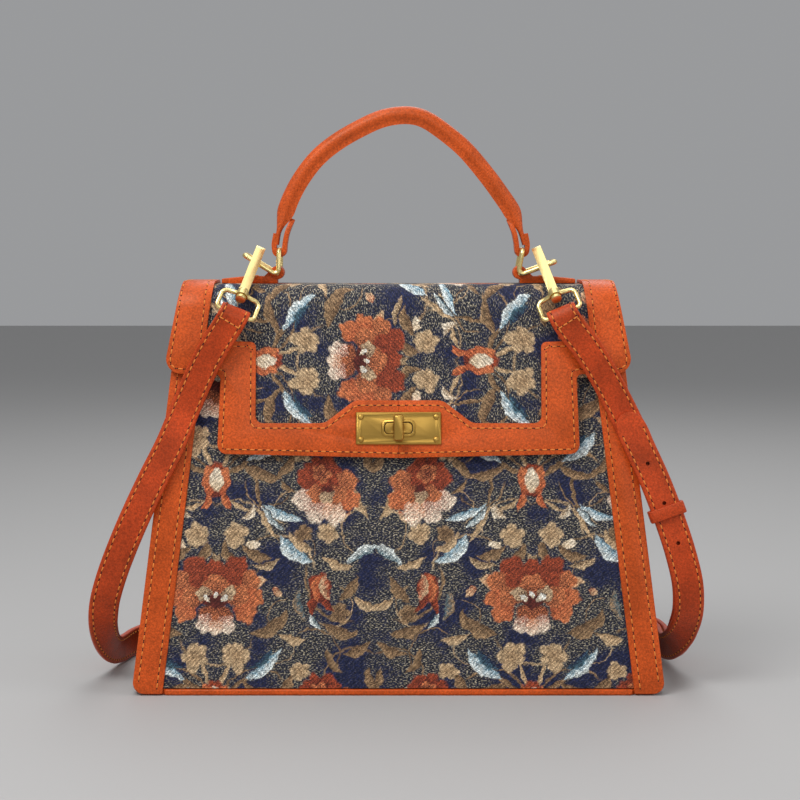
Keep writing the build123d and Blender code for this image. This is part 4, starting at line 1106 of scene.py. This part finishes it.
# Folds beside the ring's bar: how far out from it and up, before and after the turn (mm)
FOLD_BEFORE = ((1.9, 9.0), (2.9, 3.5))
FOLD_AFTER = ((-3.1, 4.0), (-4.4, 10.0), (-7.4, 17.0))
FOLD_TIP = 0.86             # share of the fold's length where its tip begins to narrow
# Section of the folds: share of the half width and of the half thickness
FOLD_SECTION = [(-1, 0.5), (-0.93, 1), (0, 1), (0.93, 1), (1, 0.5), (1, -0.5), (0.93, -1), (0, -1),
                (-0.93, -1), (-1, -0.5)]


def curve_through(points, steps):
    """Catmull-Rom points through the given ones."""
    ends = [points[0] * 2 - points[1]] + list(points) + [points[-1] * 2 - points[-2]]
    result = []
    for a, b, c, d in zip(ends, ends[1:], ends[2:], ends[3:]):
        for index in range(steps):
            t = index / steps
            result.append(0.5 * ((b * 2) + (c - a) * t + (a * 2 - b * 5 + c * 4 - d) * t * t
                                 + (b * 3 - a - c * 3 + d) * t * t * t))
    result.append(points[-1].copy())
    return result


def run_at(points, index):
    """Direction of a line of points at one of them."""
    return (points[min(index + 1, len(points) - 1)] - points[max(index - 1, 0)]).normalized()


def skin(name, rings, slot, body=BODY):
    """A closed skin over rings of points, with its ends capped."""
    points, faces = [], []
    size = len(rings[0])
    for ring in rings:
        points += ring
    for row in range(len(rings) - 1):
        for index in range(size):
            a = row * size + index
            b = row * size + (index + 1) % size
            faces.append((a, b, b + size, a + size))
    faces.append(tuple(reversed(range(size))))
    last = (len(rings) - 1) * size
    faces.append(tuple(range(last, last + size)))
    return new_piece(name, points, faces, slot, body)


def handle_ring(point, inward, roundness):
    """Points round the handle: a flat strip at roundness 0, a tube with its sewn edge at 1."""
    ring = []
    for corner in range(32):
        angle = corner / 32 * 2 * math.pi
        c, s = math.cos(angle), math.sin(angle)
        flat_y = FLAT_WIDTH * math.copysign(abs(s) ** 0.5, s)
        flat_n = FLAT_THICK * math.copysign(abs(c) ** 0.5, c)
        from_edge = math.atan2(math.sin(angle + FLANGE_AT), math.cos(angle + FLANGE_AT))
        reach = HANDLE_RADIUS + FLANGE * math.exp(-(from_edge / FLANGE_SPREAD) ** 2)
        y = flat_y * (1 - roundness) + reach * s * roundness
        n = flat_n * (1 - roundness) + reach * c * roundness
        ring.append(point + Vector((0, y, 0)) + inward * n)
    return ring


def fold_rings(bar, side):
    """Rings along a flat end of the handle: down beside the ring's bar, round it and up again."""
    x, z = bar
    route = list(FOLD_BEFORE)
    for turn in range(0, 181, 30):
        angle = math.radians(turn)
        route.append((FOLD_REACH * math.cos(angle), -FOLD_REACH * math.sin(angle)))
    route += FOLD_AFTER
    strip = curve_through([Vector(((x + side * away) * MM, 0, (z + up) * MM)) for away, up in route], 5)
    rings = []
    for index, point in enumerate(strip):
        run = run_at(strip, index)
        out = Vector((run.z, 0, -run.x))
        share = index / (len(strip) - 1)
        half = FLAT_WIDTH
        if share >= FOLD_TIP:
            half *= math.sqrt(max(1 - ((share - FOLD_TIP) / 0.15) ** 2, 0.02))
        thick = FOLD_THICK * min(1, 1.15 - 0.5 * max(share - 0.6, 0))
        rings.append([point + Vector((0, a * half, 0)) + out * b * thick for a, b in FOLD_SECTION])
    return rings


class BAG_OT_handle(bpy.types.Operator):
    """Rolled leather handle with its sewn seam, and its flat ends folded round the rings"""
    bl_idname = "bag.handle"
    bl_label = "Handle"

    def execute(self, context):
        line = curve_through([Vector((x * MM, 0, z * MM)) for x, z in HANDLE_LINE], 6)
        travelled = [0.0]
        for a, b in zip(line, line[1:]):
            travelled.append(travelled[-1] + (b - a).length)
        rings, sewn = [], []
        for index, point in enumerate(line):
            run = run_at(line, index)
            inward = Vector((run.z, 0, -run.x))
            if inward.z > 0 and abs(run.x) > 0.3:
                inward = -inward
            # flat at its ends, the strip rolls up into a tube
            near = min(travelled[index], travelled[-1] - travelled[index])
            roundness = min(max((near - ROLL_FROM) / ROLL_OVER, 0), 1)
            roundness = roundness * roundness * (3 - 2 * roundness)
            rings.append(handle_ring(point, inward, roundness))
            if roundness > 0.98:
                sewn.append((point, inward))
        tube = skin("leather_handle", rings, "body_leather", "handle")
        outward(tube)
        finish(tube, "leather")
        smooth(tube, 60)
        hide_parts("handle_cover")

        seat = HANDLE_RADIUS + 0.2 * MM
        path = [point + inward * seat * 0.86 + Vector((0, -1, 0)) * seat * 0.62 for point, inward in sewn]
        stitches = []
        for place, along in walk(path):
            inward = min(sewn, key=lambda s: (s[0] - place).length)[1]
            stitches.append((place, along, (Vector((0, -0.95, 0)) + inward * 0.05).normalized()))
        sew("stitches_handle", stitches, "body_leather", "handle")

        for name, bar, side in RING_BARS:
            loop = skin("leather_handle_fold_" + name, fold_rings(bar, side), "body_leather", "handle")
            outward(loop)
            finish(loop, "leather")
            smooth(loop, 50)
            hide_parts("handle_cover")
        return {"FINISHED"}


class BAG_OT_tabs(bpy.types.Operator):
    """Leather tabs that hold the handle's rings on the flap"""
    bl_idname = "bag.tabs"
    bl_label = "Handle tabs"

    def execute(self, context):
        top = CROWN_HEIGHT + FABRIC_OUT + TAB_HEIGHT
        seams = []
        for node, side in (("handle_tab_left", -1), ("handle_tab_right", 1)):
            copy_of(node, "leather_" + node, "body_leather", "leather", LEATHER_EDGE)
            for y in TAB_SEAMS:
                path = [Vector((side * x, y, top)) for x in TAB_SEAM_ENDS]
                seams += [(place, along, Vector((0, 0, 1))) for place, along in walk(path)]
        sew("stitches_tabs", seams, "body_leather")
        return {"FINISHED"}


# Snap hook and swivel eye on the +X side, as far as the strap hangs on them
RING_BAR = Vector((66.6, 0, 223.2))
RING_LEG_ANGLE = math.radians(26)
RING_BEND_RADIUS = 2.2
HOOK_AXIS = Vector((-0.20, 0.74, 0.60)).normalized()
EYE_WIRE_RADIUS = 1.25
LEG_FORWARD = 9.0           # from the ring's middle forward to the leg on which the hook hangs
HOOK_LEG_STATION = 14.8     # distance of the hook from the ring's bend, along the ring's leg
HOOK_WIRE_STATION = 31.0    # where the ring's leg crosses the mouth, up from the post
MOUTH_CENTRE = 4.7          # of the mouth, across from the post
EYE_PITCH = math.radians(25)                    # the eye hangs this much more upright than the hook
EYE_DROP = 11.5


def eye_frame():
    """Middle of the right eye's lower bar, the way down along the eye, and the way across it (mm)."""
    leg = Vector((math.cos(RING_LEG_ANGLE), 0, math.sin(RING_LEG_ANGLE)))
    bend_drop = RING_BEND_RADIUS * (1 / math.sin((math.pi / 2 - RING_LEG_ANGLE) / 2) - 1)
    bend = RING_BAR - (leg + Vector((0, 0, 1))).normalized() * bend_drop
    side = (leg - HOOK_AXIS * leg.dot(HOOK_AXIS)).normalized()
    mouth = HOOK_AXIS.cross(side)
    crossing = bend - Vector((0, LEG_FORWARD, 0)) + leg * HOOK_LEG_STATION
    post = crossing - HOOK_AXIS * HOOK_WIRE_STATION - mouth * MOUTH_CENTRE
    down = (mouth * math.sin(EYE_PITCH) - HOOK_AXIS * math.cos(EYE_PITCH)).normalized()
    return post + down * EYE_DROP, down, side


# Shoulder strap in millimetres: the middle of the strap and the direction across it
STRAP_WIDTH = 16.0
STRAP_THICK = 3.0
CROSS_SEAM_Z = 0.198
FOLD_LAYER = 2.3
FOLD_INSIDE = EYE_WIRE_RADIUS + 0.08            # inner radius of a fold round a wire
FOLD_MIDDLE = FOLD_INSIDE + FOLD_LAYER / 2
TAIL_OFFSET = 3.8           # from the middle of the right part to the middle of the tail over it
BUCKLE_GAP = 0.3
BUCKLE_WIRE = 1.4           # radius of the buckle's front bar
HEEL_BEHIND, HEEL_FRONT = (8.0, 4.0), (5.0, 9.0)    # flat layers from the heel bar, along X
BUCKLE = Vector((108.0, 83.4, 12.7))
BUCKLE_FRONT = Vector((90.0, 78.4, 12.7))
RIGHT_FOLD = [((93.0, -42.2, 193.4), (0.90, 0, 0.42)), ((98.3, -41.9, 186.8), (0.89, 0, 0.45)),
              ((103.9, -40.9, 178.6), (0.87, 0, 0.48))]
RIGHT_RUN = [((118.0, -39.6, 153.7), (0.89, 0, 0.45)), ((129.0, -42.0, 130.7), (0.91, 0, 0.40)),
             ((136.8, -44.3, 113.5), (0.93, 0, 0.36)), ((141.6, -45.9, 101.3), (0.94, 0, 0.34)),
             ((145.0, -46.7, 91.9), (0.94, 0, 0.34)), ((150.6, -48.0, 74.5), (0.96, 0.02, 0.26)),
             ((154.4, -47.2, 58.5), (0.98, 0.08, 0.10)), ((155.6, -41.5, 44.2), (0.93, 0.25, -0.20)),
             ((155.2, -30.0, 32.0), (0.80, 0.30, -0.50)), ((154.6, -15.0, 22.5), (0.60, 0.20, -0.78)),
             ((154.0, 1.0, 15.8), (0.36, 0.08, -0.93)), ((153.4, 18.0, 12.4), (0.14, 0.02, -0.99)),
             ((153.0, 36.0, 11.9), (0, 0, -1)), ((150.5, 54.0, 12.0), (0, 0, -1)),
             ((143.4, 70.4, 12.3), (0, 0, -1)), ((131.0, 79.5, 12.8), (0, 0, -1)),
             ((121.0, 82.6, 12.7), (0, 0, -1))]
LEFT_FOLD = [((-92.6, -42.2, 193.4), (0.90, 0, -0.42)), ((-96.9, -41.9, 186.8), (0.90, 0, -0.43)),
             ((-101.6, -40.9, 178.6), (0.91, 0, -0.42))]
LEFT_RUN = [((-112.9, -40.0, 154.0), (0.92, 0, -0.39)), ((-122.3, -42.9, 131.7), (0.92, 0, -0.40)),
            ((-131.2, -45.4, 114.0), (0.91, 0, -0.41)), ((-139.6, -47.6, 96.2), (0.91, 0, -0.41)),
            ((-147.5, -48.0, 78.0), (0.92, 0, -0.38)), ((-154.0, -46.4, 61.0), (0.95, 0, -0.30)),
            ((-158.2, -42.6, 47.0), (0.97, 0.10, -0.15)), ((-160.2, -35.0, 35.0), (0.93, 0.28, 0.22)),
            ((-160.6, -24.0, 25.0), (0.78, 0.30, 0.55)), ((-160.0, -10.0, 16.8), (0.52, 0.18, 0.83)),
            ((-158.8, 6.0, 11.2), (0.26, 0.06, 0.96)), ((-157.0, 23.0, 8.9), (0.08, 0.0, 1.0)),
            ((-153.8, 41.0, 8.6), (0, 0, 1)), ((-147.4, 58.0, 8.5), (0, 0, 1)),
            ((-136.0, 71.5, 8.5), (0, 0, 1)), ((-118.0, 79.5, 8.5), (0, 0, 1)),
            ((-88.0, 83.5, 8.6), (0, 0, 1)), ((-40.0, 85.5, 8.9), (0, 0, 1)),
            ((10.0, 86.0, 9.8), (0, 0, 1)), ((52.0, 84.8, 11.6), (0, 0, 1)),
            ((76.0, 82.8, 12.3), (0, 0, 1))]
TAIL_FIRST = 1              # where in the right run the tail's free end begins
# Tip of the tail: how far past the last station, and how wide
TAIL_TIP = [(11.0, 16.0), (14.5, 14.8), (17.0, 12.2), (18.8, 8.6), (19.8, 4.4), (20.0, 1.0)]
TAIL_HOLES = (21, 35, 49)   # samples back from the tip
TAIL_HOLE_RADIUS = 1.1 * MM
TIP_SAMPLES = 8             # samples in which the tip narrows
SAMPLE_STEP = 1.6           # between samples along the strap


def flow(stations):
    """Even samples of (middle, across, width, thickness) along the stations, eased by chord length."""
    rows = [list(c) + list(a) + [w, t] for c, a, w, t in stations]
    gaps = [max((Vector(b[:3]) - Vector(a[:3])).length, 1e-6) for a, b in zip(rows, rows[1:])]
    slopes = []
    for index in range(len(rows)):
        before = max(index - 1, 0)
        after = min(index, len(gaps) - 1)
        first = [(b - a) / gaps[before] for a, b in zip(rows[before], rows[before + 1])]
        second = [(b - a) / gaps[after] for a, b in zip(rows[after], rows[after + 1])]
        lean_on = gaps[after] / (gaps[before] + gaps[after])
        slopes.append([f * lean_on + g * (1 - lean_on) for f, g in zip(first, second)])
    samples = []
    for index, gap in enumerate(gaps):
        count = max(int(gap / SAMPLE_STEP + 0.5), 1)
        for number in range(count + (index == len(gaps) - 1)):
            t = number / count
            blend = ((2 * t - 3) * t * t + 1, ((t - 2) * t + 1) * t * gap, (3 - 2 * t) * t * t,
                     (t - 1) * t * t * gap)
            ends = zip(rows[index], slopes[index], rows[index + 1], slopes[index + 1])
            value = [sum(share * part for share, part in zip(blend, parts)) for parts in ends]
            samples.append((Vector(value[:3]), Vector(value[3:6]), value[6], value[7]))
    return samples


def strap_frames(stations):
    """Along the stations: middle, direction across, direction out, width and thickness, in metres."""
    samples = flow(stations)
    middles = [sample[0] for sample in samples]
    frames = []
    for index, (middle, across, width, thick) in enumerate(samples):
        run = run_at(middles, index)
        across = (across - run * across.dot(run)).normalized()
        frames.append((middle * MM, across, run.cross(across), width * MM, thick * MM))
    return frames


# Half outline of the strap's section, from the middle of one face round an edge: shares of the
# half width and of the half thickness
STRAP_SECTION = [(0, 1), (0.45, 1), (0.80, 1), (0.90, 0.97), (0.97, 0.80), (1.0, 0.45), (1.0, 0),
                 (1.0, -0.45), (0.97, -0.80), (0.90, -0.97), (0.80, -1), (0.45, -1)]
EDGE_COLUMNS = {*range(3, 9), *range(15, 21)}   # columns of the whole section on its two edges
STRAP_SEAM_INSET = 2.3 * MM
CROSS_PITCH = 3.2 * MM
END_SAMPLES = 60            # samples that take in both layers of the hook's fold


def ribbon(name, frames, node):
    """A strap piece: two faces of leather with a painted edge, lighter for a painted highlight, rounded
    where it is cut.
    """
    section = STRAP_SECTION + [(-a, -b) for a, b in STRAP_SECTION]
    size = len(section)
    rings = [[middle + across * a * width / 2 + out * b * thick / 2 for a, b in section]
             for middle, across, out, width, thick in frames]
    piece = skin(name, rings, "strap_leather")
    finish(piece, "strap", "strap edge paint and highlight")
    # faces on the two edges and at the ends take the edge paint with its painted highlight
    for face in piece.data.polygons:
        columns = [v % size for v in face.vertices]
        if len(columns) != 4 or (min(columns) in EDGE_COLUMNS and max(columns) < size - 1):
            face.material_index = 1
    outward(piece)
    smooth(piece, 50)
    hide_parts(node)
    return piece


def strap_seams(frames, last):
    """Seam places on both edges of both faces, from the second frame up to the last one given."""
    places = []
    chosen = frames[1:last]
    for face in (1, -1):
        for edge in (-1, 1):
            path = [middle + across * edge * (width / 2 - STRAP_SEAM_INSET) + out * face * thick / 2
                    for middle, across, out, width, thick in chosen]
            nearest = 0
            for place, along in walk(path):
                while (nearest < len(path) - 2
                       and (path[nearest + 1] - place).length < (path[nearest] - place).length):
                    nearest += 1
                places.append((place, along, chosen[nearest][2] * face))
    return places


def cross_seam(frames):
    """Four stitches across the strap's outer face, where its front layer passes CROSS_SEAM_Z."""
    middle, across, out, width, thick = min(
        frames[:END_SAMPLES], key=lambda f: abs(f[0].z - CROSS_SEAM_Z) + (0 if f[2].y < 0 else 1))
    shifts = [(index - 1.5) * CROSS_PITCH for index in range(4)]
    return [(middle + across * shift + out * thick / 2, across, out) for shift in shifts]


def folded_end(bar, down, fold, side_across):
    """Stations of a strap end: from the tongue behind, round the bar, and down the front."""
    out = down.cross(side_across).normalized()
    half = FOLD_LAYER / 2
    points = [Vector(centre) for centre, across in fold]
    layers = []
    for index, (point, (centre, across)) in enumerate(zip(points, fold)):
        layers.append((point, across, run_at(points, index).cross(Vector(across)).normalized()))
    stations = [(point - normal * half, across) for point, across, normal in reversed(layers)]
    for turn in range(-90, 91, 30):
        angle = math.radians(turn)
        place = bar + (out * math.sin(angle) - down * math.cos(angle)) * FOLD_MIDDLE
        stations.append((place, side_across))
    stations += [(point + normal * half, across) for point, across, normal in layers]
    return [(place, across, STRAP_WIDTH, FOLD_LAYER) for place, across in stations]


def punch(piece, places, radius):
    """Drills round holes through a strap piece at (place, direction)."""
    for place, direction in places:
        deselect()
        bpy.ops.mesh.primitive_cylinder_add(vertices=20, radius=radius, depth=12 * MM, location=place,
                                            rotation=direction.to_track_quat("Z", "Y").to_euler())
        drill = bpy.context.object
        hole = piece.modifiers.new("Hole", "BOOLEAN")
        hole.operation = "DIFFERENCE"
        hole.solver = "EXACT"
        hole.object = drill
        apply_all(piece)
        bpy.data.objects.remove(drill, do_unlink=True)


class BAG_OT_strap(bpy.types.Operator):
    """Shoulder strap in two parts, folded round the eyes, with seams, holes, keeper and buckle folds"""
    bl_idname = "bag.strap"
    bl_label = "Shoulder strap"

    def execute(self, context):
        bar, down, side = eye_frame()
        full = (STRAP_WIDTH, STRAP_THICK)
        run = [(Vector(centre), across, *full) for centre, across in RIGHT_RUN]

        # right part: hook fold, run down, and the fold round the buckle's heel bar
        heel = [Vector((x, FOLD_MIDDLE, 0)) for x in HEEL_BEHIND]
        for turn in range(0, 181, 30):
            angle = math.radians(turn)
            heel.append(Vector((-math.sin(angle), math.cos(angle), 0)) * FOLD_MIDDLE)
        heel += [Vector((x, -FOLD_MIDDLE, 0)) for x in HEEL_FRONT]
        heel = [(BUCKLE + place, (0, 0, -1), STRAP_WIDTH, FOLD_LAYER) for place in heel]
        short_frames = strap_frames(folded_end(bar, down, RIGHT_FOLD, side) + run + heel)
        ribbon("strap_short_leather", short_frames, "strap_short")

        # left part: hook fold, run behind the bag, through the buckle and back up over the right part
        runs = [(b[0] - a[0]).normalized() for a, b in zip(run, run[2:])]
        tail = []
        for index in range(TAIL_FIRST, len(run)):
            middle, across = run[index][0], Vector(run[index][1])
            heading = runs[min(index - 1, len(runs) - 1)]
            tail.append((middle + heading.cross(across).normalized() * TAIL_OFFSET, -across, *full))
        tip_run = (tail[0][0] - tail[1][0]).normalized()
        tip = [(tail[0][0] + tip_run * reach, tail[0][1], width, STRAP_THICK)
               for reach, width in TAIL_TIP]
        lift = BUCKLE_GAP + STRAP_THICK / 2
        through = [(BUCKLE_FRONT + Vector((0, BUCKLE_WIRE + lift, 0)), (0, 0, 1), *full),
                   (BUCKLE - Vector((0, 2 * FOLD_MIDDLE - FOLD_INSIDE + lift, 0)), (0, 0, 1), *full)]
        start = folded_end(Vector((-bar.x, bar.y, bar.z)), Vector((-down.x, down.y, down.z)), LEFT_FOLD,
                           Vector((side.x, -side.y, -side.z)))
        left_run = [(Vector(centre), across, *full) for centre, across in LEFT_RUN]
        long_frames = strap_frames(start + left_run + through + tail[::-1] + tip)
        long_piece = ribbon("strap_long_leather", long_frames, "strap_long")
        holes = [(long_frames[-back][0], long_frames[-back][2]) for back in TAIL_HOLES]
        punch(long_piece, holes, TAIL_HOLE_RADIUS)

        # the long seams end before the tail's tip narrows
        seams = strap_seams(short_frames, -1) + strap_seams(long_frames, -TIP_SAMPLES)
        seams += cross_seam(short_frames) + cross_seam(long_frames)
        sew("stitches_strap", seams, "strap_leather")
        copy_of("strap_keeper", "strap_keeper_leather", "strap_leather", "strap", LEATHER_EDGE)
        return {"FINISHED"}


class BAG_OT_hardware(bpy.types.Operator):
    """Finishes of the rings, hooks, eyes, buckle and turn lock"""
    bl_idname = "bag.hardware"
    bl_label = "Metal parts"

    def execute(self, context):
        slots = {entry["node"]: entry["material_slot"] for entry in frame["record"]["subparts"]}
        finishes = {"polished_gold_plate": "gold", "lock_brass": "brass", "lining_cloth": "lining",
                    "handle_cord": "cord", "strap_leather": "strap", "body_leather": "leather",
                    "lining_leather": "inner leather", "jacquard_fabric": "jacquard"}
        for node, piece in frame["nodes"].items():
            finish(piece, finishes[slots[node]])
        # node, the body it rides on, and how round its edges are (mm)
        rounded = (
            ("ring_left", "ring_l", 0), ("ring_right", "ring_r", 0),
            ("hook_left", "hook_l", 0.45), ("hook_right", "hook_r", 0.45),
            ("gate_left", "gate_l", 0.2), ("gate_right", "gate_r", 0.2),
            ("gate_pin_left", "hook_l", 0.15), ("gate_pin_right", "hook_r", 0.15),
            ("eye_left", BODY, 0), ("eye_right", BODY, 0), ("buckle_frame", BODY, 0),
            ("buckle_prong", BODY, 0), ("lock_front_plate", BODY, 0.25), ("lock_rivets", BODY, 0.1),
            ("lock_base_plate", BODY, 0.2), ("turn_knob", "knob", 0.35))
        for node, body, bevel in rounded:
            copy_of(node, "metal_" + node, slots[node], finishes[slots[node]], bevel * MM, body)
        return {"FINISHED"}


# Camera as the photo was taken, as far as its lines tell
FOCAL_PIXELS, PICTURE_PIXELS, SENSOR = 2100, 800, 36
CAMERA_PLACE = (0.0008, -1.160, 0.250)
CAMERA_DOWN = math.radians(4.8)
# Soft boxes: name, place, where each aims, edge of its square (m) and power (W)
LAMPS = (("key", (-0.42, -0.58, 0.98), (0, 0, 0.18), 0.55, 7.0),
         ("front", (0.35, -1.5, 0.85), (0, 0, 0.16), 0.9, 3.8),
         ("side", (1.2, -0.3, 0.7), (0, 0, 0.16), 0.8, 3.0),
         ("rim", (0.2, 1.1, 1.2), (0, 0, 0.15), 0.9, 4.5),
         ("top", (0.0, 0.16, 1.25), (0, 0, 0.2), 1.0, 3.6))


class BAG_OT_stage(bpy.types.Operator):
    """Floor, lights and camera"""
    bl_idname = "bag.stage"
    bl_label = "Stage"

    def execute(self, context):
        deselect()
        bpy.ops.mesh.primitive_plane_add(size=8, location=(0, 0, 0))
        floor = context.object
        floor.name = "stage_floor"
        material, tree, shader = new_material("Floor")
        fill(tree, shader, {"Base Color": (0.46, 0.455, 0.45, 1), "Roughness": 0.7})
        floor.data.materials.append(material)
        for name, place, aim, size, power in LAMPS:
            lamp = bpy.data.lights.new(name, "AREA")
            lamp.size = size
            lamp.energy = power
            holder = bpy.data.objects.new(name, lamp)
            context.collection.objects.link(holder)
            holder.location = place
            holder.rotation_euler = (Vector(aim) - Vector(place)).to_track_quat("-Z", "Y").to_euler()
        world = bpy.data.worlds.new("Studio")
        world.use_nodes = True
        sky = world.node_tree.nodes["Background"]
        fill(world.node_tree, sky, {"Color": (0.80, 0.81, 0.83, 1), "Strength": 0.40})
        context.scene.world = world
        lens = bpy.data.cameras.new("Camera")
        lens.lens = FOCAL_PIXELS / PICTURE_PIXELS * SENSOR
        lens.sensor_width = SENSOR
        lens.dof.use_dof = False
        camera = bpy.data.objects.new("Camera", lens)
        context.collection.objects.link(camera)
        camera.location = CAMERA_PLACE
        camera.rotation_euler = (math.pi / 2 - CAMERA_DOWN, 0, 0)
        context.scene.camera = camera
        context.scene.view_settings.view_transform = "Standard"
        return {"FINISHED"}


class BAG_PT_panel(bpy.types.Panel):
    """Every step of dressing the bag, in the order in which they run"""
    bl_idname = "BAG_PT_panel"
    bl_label = "Top-handle bag"
    bl_space_type = "VIEW_3D"
    bl_region_type = "UI"
    bl_category = "Bag"

    def draw(self, context):
        column = self.layout.column(align=True)
        for item in CLASSES:
            if issubclass(item, bpy.types.Operator):
                column.operator(item.bl_idname)
        for owner in (context.scene.bag_sizes, context.scene.bag_colours):
            box = self.layout.box()
            for name in owner.__annotations__:
                box.prop(owner, name)


CLASSES = (BagSizes, BagColours, BAG_OT_panels, BAG_OT_gussets, BAG_OT_leather, BAG_OT_flap,
           BAG_OT_handle, BAG_OT_tabs, BAG_OT_strap, BAG_OT_hardware, BAG_OT_stage, BAG_PT_panel)


def register():
    """Adds the sizes, colours, steps and panel to Blender."""
    for item in CLASSES:
        bpy.utils.register_class(item)
    bpy.types.Scene.bag_sizes = bpy.props.PointerProperty(type=BagSizes)
    bpy.types.Scene.bag_colours = bpy.props.PointerProperty(type=BagColours)


def unregister():
    """Takes out of Blender what register added."""
    del bpy.types.Scene.bag_colours
    del bpy.types.Scene.bag_sizes
    for item in reversed(CLASSES):
        bpy.utils.unregister_class(item)


def main():
    """Dresses the whole bag."""
    register()
    build_materials(bpy.context.scene.bag_colours)
    bpy.ops.bag.hardware()
    bpy.ops.bag.panels()
    bpy.ops.bag.gussets()
    bpy.ops.bag.leather()
    bpy.ops.bag.flap()
    bpy.ops.bag.handle()
    bpy.ops.bag.tabs()
    bpy.ops.bag.strap()
    bpy.ops.bag.stage()


if __name__ == "__main__":
    main()
